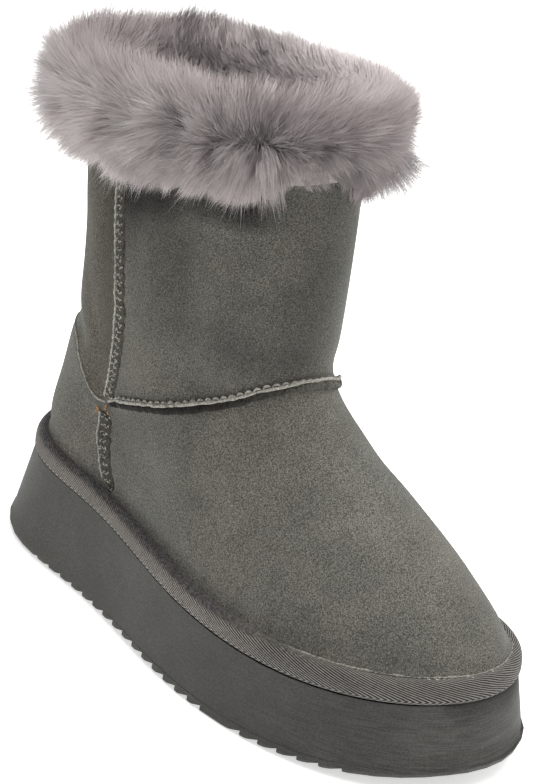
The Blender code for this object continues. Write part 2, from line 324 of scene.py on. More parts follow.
# The middle of the cuff's section: how far out from the collar's edge, and how far above it.
CUFF_OUT = 0.004
CUFF_RISE = -0.002

# Lowest and highest places that the fur may reach. Hairs are trimmed to them.
FUR_REACH = ((-0.0722, -0.1585, 0.180), (0.0722, 0.1595, 0.2922))

# Knots along a hair, as shares of its length.
STEPS = np.array([0.0, 0.52, 1.0])

# Parts of the fur: the turns round the cuff's section that each covers, and its hairs.
FurPart = namedtuple("FurPart", "name low high hairs")
FUR_PARTS = (
    FurPart("fur_hem", -140, -25, 60000),
    FurPart("fur_roll", -25, 45, 63000),
    FurPart("fur_crest", 45, 115, 62000),
    FurPart("fur_inside", 115, 235, 47000),
)

# Soft boxes: their places and sides in metres, and their power in watts.
Lamp = namedtuple("Lamp", "name place side power")
LAMPS = (
    Lamp("soft_top", (0.20, -0.10, 1.8), 1.5, 38.0),
    Lamp("soft_front", (1.3, -1.2, 1.3), 1.2, 6.0),
    Lamp("soft_side", (-1.7, 0.9, 1.1), 1.4, 2.5),
)

# What the soft boxes face.
LIT_POINT = Vector((0.0, 0.0, 0.12))

# Width of the camera's sensor, in millimetres.
SENSOR = 36.0


def linear(colour):
    """An sRGB hex colour as linear red, green, blue and alpha."""
    parts = [int(colour[i : i + 2], 16) / 255 for i in (1, 3, 5)]
    return (*[p / 12.92 if p <= 0.04045 else ((p + 0.055) / 1.055) ** 2.4 for p in parts], 1.0)


# --- materials -------------------------------------------------------------------------------------

# Kinds of node that come up often.
NOISE = "ShaderNodeTexNoise"
RAMP = "ShaderNodeValToRGB"
MATH = "ShaderNodeMath"
RANGE = "ShaderNodeMapRange"
APART = "ShaderNodeSeparateXYZ"


def new_material(name, **sockets):
    """A material with its shader's own sockets set."""
    material = bpy.data.materials.new(name)
    material.use_nodes = True
    shader = material.node_tree.nodes["Principled BSDF"]
    for socket, value in sockets.items():
        shader.inputs[socket.replace("_", " ")].default_value = value
    return material, material.node_tree, shader


def node(tree, kind, *feeds, out=None, stops=(), **settings):
    """Adds a node and gives back one of its outputs, the first live one unless it is named. A setting
    named for an input sets it, and others set the node. Each feed is an output or a value, and the input
    that takes it. stops are a colour ramp's places and hex colours."""
    made = tree.nodes.new(kind)
    for key, value in settings.items():
        if hasattr(made, key):
            setattr(made, key, value)
        else:
            made.inputs[key.replace("_", " ")].default_value = value
    for source, target in feeds:
        if isinstance(source, bpy.types.NodeSocket):
            tree.links.new(source, made.inputs[target])
        else:
            made.inputs[target].default_value = source
    while stops and len(made.color_ramp.elements) < len(stops):
        made.color_ramp.elements.new(0.5)
    for number, (place, colour) in enumerate(stops):
        made.color_ramp.elements[number].position = place
        made.color_ramp.elements[number].color = linear(colour)
    return made.outputs[out] if out else next(socket for socket in made.outputs if socket.enabled)


def layered(tree, tone, *layers, mode="OVERLAY"):
    """A tone with ramps of colour laid over it in turn. A layer is its share, which may be an output, what
    its ramp follows, and the ramp's stops."""
    for share, source, stops in layers:
        over = node(tree, RAMP, (source, "Fac"), stops=stops)
        feeds = ((share, "Factor"), (tone, "A"), (over, "B"))
        tone = node(tree, "ShaderNodeMix", *feeds, data_type="RGBA", blend_type=mode)
    return tone


def surfaced(tree, shader, tone, grain, strength, depth):
    """Gives a shader its tone, and a grain that stands up from it by a depth."""
    bump = node(tree, "ShaderNodeBump", (grain, "Height"), Strength=strength, Distance=depth)
    tree.links.new(tone, shader.inputs["Base Color"])
    tree.links.new(bump, shader.inputs["Normal"])


def fibrous(name, fibre, stops, strength, depth, detail=3.0, tangle=0.7, **sockets):
    """A dull material of short fibres: the size of a fibre sets its mottling, and the tangle its fuzz."""
    material, tree, shader = new_material(name, **sockets)
    where = node(tree, "ShaderNodeTexCoord", out="Object")
    fibres = node(tree, NOISE, (where, "Vector"), Scale=1 / fibre, Detail=detail, Roughness=tangle)
    surfaced(tree, shader, node(tree, RAMP, (fibres, "Fac"), stops=stops), fibres, strength, depth)
    return material


def suede():
    """Split sheepskin, napped and dyed grey: matt and soft, with a fine speckle where the nap lies both
    ways, larger soft clouds, marks of painted light and shade, a coarser nap at the heel, a browner
    panel at the back of the shaft that is darkened toward its sides by painted shade, and a pale
    bloom at grazing angles."""
    looks = bpy.context.scene.boot_suede
    matt = {"Roughness": 0.95, "IOR": 1.45, "Specular_IOR_Level": 0.15}
    bloom = {"Sheen_Weight": 0.50, "Sheen_Roughness": 0.40, "Sheen_Tint": linear("#C6C9C4")}
    material, tree, shader = new_material("napped_suede", **matt, **bloom)
    where = node(tree, "ShaderNodeTexCoord", out="Object")
    cloud = node(tree, NOISE, (where, "Vector"), Scale=1 / looks.cloud, Detail=3.0, Roughness=0.55)
    upright = node(tree, "ShaderNodeMapping", (where, "Vector"), Scale=(1.0, 1.0, 0.45))
    streak = node(tree, NOISE, (upright, "Vector"), Scale=1 / (0.35 * looks.cloud), Detail=4.0, Roughness=0.6)
    dye = node(tree, NOISE, (where, "Vector"), Scale=1 / (2.2 * looks.cloud), Detail=2.0)
    nap = node(tree, NOISE, (where, "Vector"), Scale=1 / looks.nap, Detail=2.0, Roughness=0.7)
    tufts = node(tree, NOISE, (where, "Vector"), Scale=1 / (1.6 * looks.nap), Detail=2.0, Roughness=0.7)
    # Painted light and shade from the marks: the fur's cast shadow and patches lit more or less.
    painted_light_and_brushed_fibres = node(tree, "ShaderNodeAttribute", out="Fac", attribute_name="painted_light_and_brushed_fibres")
    coarse = node(tree, "ShaderNodeAttribute", out="Fac", attribute_name="coarse")
    panel = node(tree, "ShaderNodeAttribute", out="Fac", attribute_name="back_panel")
    tone = layered(
        tree,
        node(tree, RAMP, (cloud, "Fac"), stops=((0.32, looks.dark), (0.68, looks.light))),
        (0.18, streak, ((0.35, "#A8A8A8"), (0.65, "#D2D2D2"))),
        (0.12, dye, ((0.38, "#B3BCBC"), (0.62, "#C6BCAC"))),
        (0.78, nap, ((0.34, "#4A4A4A"), (0.52, "#BCBCBC"), (0.68, "#FFFFFF"))),
        (1.0, painted_light_and_brushed_fibres, ((0.0, "#000000"), (0.5, "#BCBCBC"), (1.0, "#FFFFFF"))),
        (coarse, tufts, ((0.36, "#444444"), (0.50, "#B8B8B8"), (0.64, "#FFFFFF"))),
    )
    # The back panel's browner tone, also darkened toward its sides as painted shade.
    panel_tint_and_shade = ((panel, "Factor"), (tone, "A"), (linear("#938B82"), "B"))
    tone = node(tree, "ShaderNodeMix", *panel_tint_and_shade, data_type="RGBA", blend_type="OVERLAY")
    surfaced(tree, shader, tone, nap, 0.65, 0.0006)
    return material


# Suede that a seam has pressed flat.
PRESSED = {"Roughness": 0.95, "Sheen_Weight": 0.1, "IOR": 1.45, "Specular_IOR_Level": 0.15}


def pressed_suede():
    """Suede pressed flat by its stitches, so darker than the rest, with a coarse rubbed grain."""
    return fibrous("pressed_suede", 0.0011, ((0.35, "#262520"), (0.68, "#5C5A53")), 0.9, 0.0006, **PRESSED)


def lip_suede():
    """Pressed suede of the instep's lip, darkened with painted shade below its crest: nearly black at the
    outer side, and paler to the front and the inner side, where less shade falls."""
    material, tree, shader = new_material("lip_suede", **PRESSED)
    where = node(tree, "ShaderNodeTexCoord", out="Object")
    inward = node(tree, APART, (where, "Vector"), out="X")
    share = node(tree, RANGE, (inward, "Value"), From_Min=-0.034, From_Max=0.010)
    grain = node(tree, NOISE, (where, "Vector"), Scale=1 / 0.0011, Detail=3.0, Roughness=0.7)
    # Painted shade below the lip's crest, nearly black.
    dark = node(tree, RAMP, (grain, "Fac"), stops=((0.35, "#0F0E0C"), (0.68, "#2F2D29")))
    tone = layered(tree, dark, (share, grain, ((0.35, "#36352F"), (0.68, "#77756C"))), mode="MIX")
    surfaced(tree, shader, tone, grain, 0.9, 0.0006)
    return material


def suede_edge(name, dark, light):
    """The cut or rolled edge of the suede: paler and hairier than its face."""
    dull = {"Roughness": 0.95, "Sheen_Weight": 0.35, "IOR": 1.45, "Specular_IOR_Level": 0.15}
    return fibrous(name, 0.0010, ((0.34, dark), (0.64, light)), 0.8, 0.0005, **dull)


def foam():
    """Moulded foam rubber: a dull satin skin, slightly uneven, with a fine grain, and fine level streaks
    left by the mould round the toe. Painted shade makes it darker toward the toe."""
    looks = bpy.context.scene.boot_sole
    material, tree, shader = new_material("moulded_foam", Roughness=0.58, IOR=1.50, Specular_IOR_Level=0.35)
    where = node(tree, "ShaderNodeTexCoord", out="Object")
    back = node(tree, APART, (where, "Vector"), out="Y")
    cloud = node(tree, NOISE, (where, "Vector"), Scale=1 / 0.030, Detail=3.0)
    grain = node(tree, NOISE, (where, "Vector"), Scale=1 / 0.0007, Detail=2.0)
    level = node(tree, "ShaderNodeMapping", (where, "Vector"), Scale=(0.05, 0.05, 1.0))
    lines = node(tree, NOISE, (level, "Vector"), Scale=1 / 0.0006, Detail=1.0)
    whole = node(tree, RANGE, (back, "Value"), From_Min=-0.14, From_Max=0.14)
    at_toe = node(tree, RANGE, (back, "Value"), From_Min=-0.03, From_Max=-0.09, To_Min=0.08, To_Max=0.42)
    tone = node(tree, RAMP, (cloud, "Fac"), stops=((0.35, looks.dark), (0.65, looks.light)))
    tone = layered(tree, tone, (0.42, grain, ((0.40, "#868686"), (0.60, "#EAEAEA"))))
    # Painted shade along the foam: darker toward the toe, palest at the heel.
    shade = ((0.05, "#DADADA"), (0.16, "#C9C9C9"), (0.38, "#D2D2D2"), (0.60, "#F0F0F0"))
    tone = layered(tree, tone, (1.0, whole, shade), mode="MULTIPLY")
    tone = layered(tree, tone, (at_toe, lines, ((0.38, "#8C8C8C"), (0.62, "#E4E4E4"))))
    ridges = node(tree, MATH, (lines, 0), (at_toe, 1), operation="MULTIPLY")
    surfaced(tree, shader, tone, node(tree, MATH, (ridges, 0), (grain, 1), operation="ADD"), 0.40, 0.0005)
    return material


def rib_along(looks):
    """Spacing of the twill's ribs measured along the tape."""
    return looks.rib / math.sin(math.radians(looks.rib_angle))


def twill():
    """Cotton tape in herringbone twill, rolled over a cord: steep ribs above and ribs the other way
    below, with a dull face. Beside the suede it is rubbed fuzzy: along the sides it is darkened with
    painted shade where the tape meets the suede, and ahead of them it is grey like the suede, but not at
    the toe. The ribs are drawn a little coarser than the real ones, so they show."""
    looks = bpy.context.scene.boot_tape
    cotton = {"Roughness": 0.90, "Sheen_Weight": 0.20, "IOR": 1.46, "Specular_IOR_Level": 0.2}
    material, tree, shader = new_material("twill_tape", **cotton)
    chart = node(tree, "ShaderNodeUVMap", uv_map="along_tape")
    along = node(tree, APART, (chart, "Vector"), out="X")
    across = node(tree, APART, (chart, "Vector"), out="Y")
    fold = node(tree, MATH, (across, 0), operation="ABSOLUTE")
    slope = 1 / math.tan(math.radians(looks.rib_angle))
    lean = node(tree, MATH, (fold, 0), (slope, 1), operation="MULTIPLY")
    shifted = node(tree, MATH, (along, 0), (lean, 1), operation="ADD")
    turns = node(tree, MATH, (shifted, 0), (2 * math.pi / rib_along(looks), 1), operation="MULTIPLY")
    wave = node(tree, MATH, (turns, 0), operation="SINE")
    rib = node(tree, RANGE, (wave, "Value"), From_Min=-1.0, From_Max=1.0)

    where = node(tree, "ShaderNodeTexCoord", out="Object")
    fuzz = node(tree, NOISE, (where, "Vector"), Scale=1 / 0.0012, Detail=3.0)
    wool = node(tree, NOISE, (where, "Vector"), Scale=1 / 0.0012, Detail=3.0, Roughness=0.7)
    cloud = node(tree, NOISE, (where, "Vector"), Scale=1 / 0.014, Detail=2.0)
    back = node(tree, APART, (where, "Vector"), out="Y")
    at_side = node(tree, RANGE, (back, "Value"), From_Min=-0.060, From_Max=-0.020)
    tone = node(tree, RAMP, (rib, "Fac"), stops=((0.36, looks.toe_dark), (0.66, looks.toe_light)))
    tone = layered(tree, tone, (at_side, rib, ((0.28, looks.dark), (0.62, looks.light))), mode="MIX")
    # The rubbed zone's colour: grey ahead of the sides, darker along them as painted shade.
    nap = node(tree, RAMP, (wool, "Fac"), stops=((0.36, "#3A3934"), (0.66, "#716E66")))
    nap = layered(tree, nap, (at_side, wool, ((0.36, "#373434"), (0.66, "#625D5C"))), mode="MIX")

    off_toe = node(tree, RANGE, (back, "Value"), From_Min=-0.088, From_Max=-0.066)
    wider = node(tree, MATH, (at_side, 0), (0.0034, 1), operation="MULTIPLY")
    reach = node(tree, MATH, (across, 0), (wider, 1), operation="ADD")
    by_suede = node(tree, RANGE, (reach, "Value"), From_Min=0.0104, From_Max=0.0124)
    # Where the rubbed zone lies, and with it the painted shade along the sides.
    rubbed_and_shaded = node(tree, MATH, (off_toe, 0), (by_suede, 1), operation="MULTIPLY")
    rub = ((rubbed_and_shaded, "Factor"), (tone, "A"), (nap, "B"))
    tone = layered(
        tree,
        node(tree, "ShaderNodeMix", *rub, data_type="RGBA", blend_type="MIX"),
        (0.35, fuzz, ((0.35, "#8C8C8C"), (0.65, "#DCDCDC"))),
        (0.25, cloud, ((0.35, "#9A9A9A"), (0.65, "#CFCFCF"))),
    )
    surfaced(tree, shader, tone, node(tree, MATH, (rib, 0), (fuzz, 1), operation="ADD"), 0.8, 0.0004)
    return material


def thread(name, dark, light):
    """Spun thread: matt, with a fine twist of darker and lighter plies."""
    spun = {"Roughness": 0.85, "Sheen_Weight": 0.25, "IOR": 1.46, "Specular_IOR_Level": 0.2}
    return fibrous(name, 0.0012, ((0.35, dark), (0.65, light)), 0.5, 0.0002, tangle=0.5, **spun)


def wool(name, tuft, stops, depth, tangle, sheen):
    """Matted wool: quite dull, tufted and darker between its tufts."""
    dull = {"Roughness": 1.0, "Sheen_Weight": sheen, "IOR": 1.5, "Specular_IOR_Level": 0.1}
    return fibrous(name, tuft, stops, 1.0, depth, detail=4.0, tangle=tangle, **dull)


def pile():
    """Short woolly pile of the lining and the insole."""
    looks = bpy.context.scene.boot_fur
    return wool("wool_pile", 0.0045, ((0.30, looks.shade), (0.70, looks.root)), 0.0015, 0.65, 0.4)


def underwool():
    """The underwool between the long hairs: darker, and matted finer."""
    looks = bpy.context.scene.boot_fur
    return wool("underwool", 0.0025, ((0.30, "#857D7C"), (0.72, looks.root)), 0.0012, 0.7, 0.2)


def hair():
    """Long soft hair, dark at its root and paler to its tip, each hair a little lighter or darker than
    its neighbours, and painted light and shade laid over the coat by its tone. It glows a little where
    light grazes it."""
    looks = bpy.context.scene.boot_fur
    glow = {"Sheen_Weight": 0.25, "Sheen_Roughness": 0.5, "IOR": 1.55, "Specular_IOR_Level": 0.25}
    material, tree, shader = new_material("long_hair", Roughness=0.70, **glow)
    chart = node(tree, "ShaderNodeUVMap", uv_map="along_hair")
    own = node(tree, APART, (chart, "Vector"), out="X")
    along = node(tree, APART, (chart, "Vector"), out="Y")
    colours = ((0.0, looks.shade), (0.35, looks.root), (0.70, looks.middle), (1.0, looks.tip))
    tone = node(tree, RAMP, (along, "Fac"), stops=colours)
    # Each hair's tone: a random share of its own, and painted light and shade over the coat.
    tone = layered(tree, tone, (0.60, own, ((0.0, "#585858"), (0.5, "#BCBCBC"), (1.0, "#F6F6F6"))))
    tree.links.new(tone, shader.inputs["Base Color"])
    return material


def floor_light():
    """Matt light table, nearly white, with the faintest unevenness and a soft glow from beneath."""
    looks = bpy.context.scene.boot_stage
    glow = {"Emission_Color": linear("#FFFFFF"), "Emission_Strength": looks.glow}
    material, tree, shader = new_material("studio_floor", Roughness=0.9, **glow)
    where = node(tree, "ShaderNodeTexCoord", out="Object")
    cloud = node(tree, NOISE, (where, "Vector"), Scale=4.0)
    tone = node(tree, RAMP, (cloud, "Fac"), stops=((0.3, looks.floor), (0.7, "#FBFBFA")))
    tree.links.new(tone, shader.inputs["Base Color"])
    return material


# --- shapes ----------------------------------------------------------------------------------------


def heading_of(points):
    """The heading in degrees of each point, from -180 to 180."""
    return np.degrees(np.arctan2(-points[:, 0], points[:, 1] - ANKLE_Y))


def sewn(cad_node):
    """A bmesh of a CAD node with its loose triangles sewn and turned back to quads."""
    mesh = bmesh.new()
    mesh.from_mesh(frame["nodes"][cad_node].data)
    bmesh.ops.remove_doubles(mesh, verts=mesh.verts, dist=SEW)
    bmesh.ops.join_triangles(
        mesh,
        faces=mesh.faces,
        angle_face_threshold=math.radians(35),
        angle_shape_threshold=math.radians(100),
        topology_influence=0.0,
    )
    return mesh


def walls(mesh):
    """The faces in patches that meet at sharp edges, the largest patch first."""
    left = set(mesh.faces)
    patches = []
    while left:
        patch = {left.pop()}
        front = list(patch)
        while front:
            face = front.pop()
            for edge in face.edges:
                for other in edge.link_faces:
                    if other in left and edge.calc_face_angle(math.pi) < WALL_EDGE:
                        left.discard(other)
                        patch.add(other)
                        front.append(other)
        patches.append(patch)
    return sorted(patches, key=lambda patch: -sum(face.calc_area() for face in patch))


def kept(mesh, patch):
    """Only a patch's faces."""
    bmesh.ops.delete(mesh, geom=[face for face in mesh.faces if face not in patch], context="FACES")
    return mesh


def placed(name, mesh, material):
    """The bmesh as an object in the scene."""
    data = bpy.data.meshes.new(name)
    mesh.to_mesh(data)
    mesh.free()
    piece = bpy.data.objects.new(name, data)
    bpy.context.scene.collection.objects.link(piece)
    piece.data.materials.append(material)
    piece.data.shade_smooth()
    return piece


def subdivided(piece, levels):
    """The piece with a subdivision surface made part of its mesh."""
    finer = piece.modifiers.new("finer", "SUBSURF")
    finer.levels = levels
    finer.render_levels = levels
    graph = bpy.context.evaluated_depsgraph_get()
    smooth = bpy.data.meshes.new_from_object(piece.evaluated_get(graph))
    piece.modifiers.remove(finer)
    piece.data = smooth
    return piece


def points_of(piece):
    """The places of a piece's points, one row each."""
    points = np.empty(len(piece.data.vertices) * 3)
    piece.data.vertices.foreach_get("co", points)
    return points.reshape(-1, 3)


def normals_of(piece):
    """The outward directions at a piece's points, one row each."""
    normals = np.empty(len(piece.data.vertices) * 3)
    piece.data.vertex_normals.foreach_get("vector", normals)
    return normals.reshape(-1, 3)


def move_points(piece, points):
    """Moves a piece's points to new places."""
    piece.data.vertices.foreach_set("co", points.ravel())
    piece.data.update()


def given_wall(piece, thickness):
    """Thickens a sheet inwards."""
    wall = piece.modifiers.new("wall", "SOLIDIFY")
    wall.thickness = thickness
    wall.offset = -1.0


def finish_piece(piece, slot, *replaced):
    """The piece rides on the boot and stands for CAD nodes, which it hides. Its slot is not used."""
    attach(piece, "root")
    if replaced:
        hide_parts(*replaced)


def eased(knots, values, at):
    """Smooth interpolation through rows of values, with no overshoot at the ends."""
    knots = np.asarray(knots, float)
    values = np.asarray(values, float)
    slopes = np.gradient(values, knots, axis=0)
    at = np.clip(at, knots[0], knots[-1])
    i = np.clip(np.searchsorted(knots, at) - 1, 0, len(knots) - 2)
    span = (knots[i + 1] - knots[i])[:, None]
    t = (at - knots[i])[:, None] / span
    return (
        (2 * t**3 - 3 * t**2 + 1) * values[i]
        + (t**3 - 2 * t**2 + t) * span * slopes[i]
        + (3 * t**2 - 2 * t**3) * values[i + 1]
        + (t**3 - t**2) * span * slopes[i + 1]
    )


class Skin:
    """A piece's outer face, to lay seams, folds and lines on."""

    def __init__(self, piece):
        points = [Vector(p) for p in points_of(piece)]
        faces = [tuple(face.vertices) for face in piece.data.polygons]
        self.tree = BVHTree.FromPolygons(points, faces)

    def at(self, heading, height):
        """The point on the face at a heading and height, and its outward normal."""
        turn = math.radians(heading)
        start = Vector((0.0, ANKLE_Y, height))
        point, normal, _, _ = self.tree.ray_cast(start, Vector((-math.sin(turn), math.cos(turn), 0.0)))
        return np.array(point), np.array(normal)

    def laid(self, places, rises):
        """Places moved to the face, and then out by their rises."""
        found = [self.tree.find_nearest(Vector(place)) for place in places]
        points = np.array([point for point, _, _, _ in found])
        normals = np.array([normal for _, normal, _, _ in found])
        return points + np.asarray(rises)[:, None] * normals

    def route(self, rows, step, mirrored=False):
        """Evenly spaced points and normals along charted rows."""
        rows = np.array(rows, float)
        rows[:, 0] = np.degrees(np.unwrap(np.radians(rows[:, 0])))
        if mirrored:
            rows[:, 0] *= -1
        share = np.arange(len(rows))
        dense = eased(share, rows, np.linspace(0, share[-1], 60 * len(rows)))
        found = [self.at(heading, height) for heading, height in dense]
        points = np.array([point for point, _ in found])
        normals = np.array([normal for _, normal in found])
        return evenly(points, normals, step)


def evenly(points, normals, step):
    """A route resampled at a spacing, with its normals smoothed."""
    length = along_of(points)[-1]
    points, normals = at_along(points, normals, np.linspace(0, length, max(2, round(length / step)) + 1))
    for _ in range(3):
        normals[1:-1] = (normals[:-2] + 2 * normals[1:-1] + normals[2:]) / 4
    return points, unit(normals)


def unit(vectors):
    """The same directions, a metre long."""
    return vectors / np.maximum(np.linalg.norm(vectors, axis=-1, keepdims=True), 1e-12)


def frames(points, normals):
    """Along, side and out directions at each point of a route."""
    along = unit(np.gradient(points, axis=0))
    out = unit(normals - (normals * along).sum(axis=1, keepdims=True) * along)
    return along, np.cross(along, out), out


def sweep(mesh, points, normals, section, swell, skin=None):
    """Extrudes a closed section of (side, out) pairs along a route and caps both ends. swell is the
    section's size at each point. With a skin, the section follows its curve."""
    _, side, out = frames(points, normals)
    section = np.array(section)
    count = len(section)
    verts = []
    edges = []
    for k in range(len(points)):
        places = points[k] + swell[k] * (section[:, :1] * side[k] + section[:, 1:] * out[k])
        if skin:
            places = skin.laid(points[k] + swell[k] * section[:, :1] * side[k], swell[k] * section[:, 1])
        if k == 0:
            verts = [mesh.verts.new(place) for place in places]
            edges = [mesh.edges.new((verts[i], verts[(i + 1) % count])) for i in range(count)]
            first = list(edges)
            continue
        grown = bmesh.ops.extrude_edge_only(mesh, edges=edges)["geom"]
        fresh = {piece for piece in grown if isinstance(piece, bmesh.types.BMVert)}
        verts = [next(e.other_vert(v) for e in v.link_edges if e.other_vert(v) in fresh) for v in verts]
        for vert, place in zip(verts, places):
            vert.co = place
        edges = [mesh.edges.get((verts[i], verts[(i + 1) % count])) for i in range(count)]
    bmesh.ops.contextual_create(mesh, geom=first)
    bmesh.ops.contextual_create(mesh, geom=edges)


def closed_up(mesh):
    """The bmesh with its normals turned out."""
    bmesh.ops.recalc_face_normals(mesh, faces=mesh.faces)
    return mesh


def rounded(side, out, side_radius, out_radius, count=8):
    """A round section about a centre."""
    turns = np.linspace(0, 2 * np.pi, count, endpoint=False)
    return np.stack([side + side_radius * np.cos(turns), out + out_radius * np.sin(turns)], axis=1)


def uneven(count, amount, seed, smooth=2):
    """A size that wavers about 1."""
    noise = np.random.default_rng(seed).normal(0, 1, count)
    for _ in range(smooth):
        noise = (np.roll(noise, 1) + noise + np.roll(noise, -1)) / 3
    return 1 + amount * noise / max(noise.std(), 1e-9)


def sewing(points, normals, side_at, out_at, flip=1):
    """A thread's own route: moved sideways and out from a seam's route at each point."""
    _, side, out = frames(points, normals)
    return points + flip * side_at[:, None] * side + out_at[:, None] * out


def along_of(points):
    """How far along a route each of its points lies."""
    return np.concatenate([[0], np.cumsum(np.linalg.norm(np.diff(points, axis=0), axis=1))])


def at_along(points, normals, places):
    """A route's points and normals at distances along it."""
    along = along_of(points)
    return (
        np.stack([np.interp(places, along, points[:, k]) for k in range(3)], axis=1),
        unit(np.stack([np.interp(places, along, normals[:, k]) for k in range(3)], axis=1)),
    )


# --- pieces ----------------------------------------------------------------------------------------


def folded_in(piece, skin):
    """Presses the soft folds into the suede."""
    points = points_of(piece)
    normals = normals_of(piece)
    depth = np.zeros(len(points))
    for fold in FOLDS:
        line, _ = skin.route(fold.route, 3 * MM)
        apart = np.full(len(points), np.inf)
        for p in line:
            apart = np.minimum(apart, ((points - p) ** 2).sum(axis=1))
        depth += fold.depth * np.exp(-apart / fold.width**2)
    move_points(piece, points - normals * depth[:, None])


def paint_light_and_nap(piece):
    """Stores the painted light and shade at each place, from 0 to 1, with 0.5 for none, where the shaft's
    back panel lies, which painted shade darkens toward its sides, and how coarse the nap is."""
    points = points_of(piece)
    heading = heading_of(points)
    tone = np.zeros(len(points))
    for mark in PAINTED_LIGHT_MARKS:
        across = ((heading - mark.heading + 180) % 360 - 180) / mark.wide
        tone += mark.tone * np.exp(-(across**2) - ((points[:, 2] - mark.height) / mark.tall) ** 2)
    # Painted light and shade, summed from the marks.
    store(piece, "painted_light_and_brushed_fibres", 0.5 + 0.5 * np.clip(tone, -0.9, 0.9))
    side = np.interp(points[:, 2], *zip(*[(height, turn) for turn, height in SIDE_SEAM[::-1]]))
    counter = np.interp(np.abs(heading), *zip(*COUNTER_SEAM[::-1]))
    above = np.clip((points[:, 2] - counter) / (2 * MM), 0, 1)
    # The back panel's painted shade, and its coarser nap, grow toward the panel's sides.
    ahead = 0.35 + 0.65 * np.clip((heading - 22) / 18, 0, 1)
    store(piece, "back_panel", above * ahead * np.clip((side - np.abs(heading)) / 3, 0, 1))
    store(piece, "coarse", (0.25 + 0.60 * above) * ahead * np.clip((66 - np.abs(heading)) / 12, 0, 1))


def store(piece, name, values):
    """Keeps a value at each of a piece's points for its material."""
    layer = piece.data.attributes.new(name, "FLOAT", "POINT")
    layer.data.foreach_set("value", values.astype(np.float32))


def skin_piece():
    """The suede's outer face as a smooth sheet."""
    mesh = sewn("upper")
    mesh = kept(mesh, walls(mesh)[0])
    collar = [vert.co for vert in mesh.verts if vert.is_boundary and vert.co.z > COLLAR_OVER]
    SHARED["collar"] = np.array(collar)
    return subdivided(placed("suede_upper", mesh, suede()), 2)


class BOOT_OT_upper(bpy.types.Operator):
    """Suede upper with its soft folds, and the woolly pile that lines it"""

    bl_idname = "boot.upper"
    bl_label = "Upper and lining"

    def execute(self, context):
        looks = context.scene.boot_suede
        piece = skin_piece()
        self.raise_counter(piece, looks)
        folded_in(piece, Skin(piece))
        # Stores the suede's painted light and shade, its back panel and its coarse nap.
        paint_light_and_nap(piece)
        SHARED["suede"] = Skin(piece)
        given_wall(piece, looks.thickness)
        finish_piece(piece, "suede", "upper")
        mesh = sewn("upper")
        lining = subdivided(placed("pile_lining", kept(mesh, walls(mesh)[1]), pile()), 1)
        given_wall(lining, looks.lining)
        finish_piece(lining, "pile")
        board = subdivided(placed("insole_pile", sewn("insole"), bpy.data.materials["wool_pile"]), 2)
        finish_piece(board, "pile", "insole")
        return {"FINISHED"}

    def raise_counter(self, piece, looks):
        """Lifts the heel counter's panel a little proud of the shaft."""
        points = points_of(piece)
        heading = np.abs(heading_of(points))
        turns, heights = zip(*COUNTER_SEAM[::-1])
        below = np.interp(heading, turns, heights) - points[:, 2]
        lift = looks.counter * np.clip(below / (3 * MM), 0, 1) * (heading < turns[-1])
        move_points(piece, points + normals_of(piece) * lift[:, None])


def mirrored_rows(rows):
    """The rows, and then the same rows on the inner side in the other order."""
    return rows + tuple((-heading, height) for heading, height in rows[-2::-1])


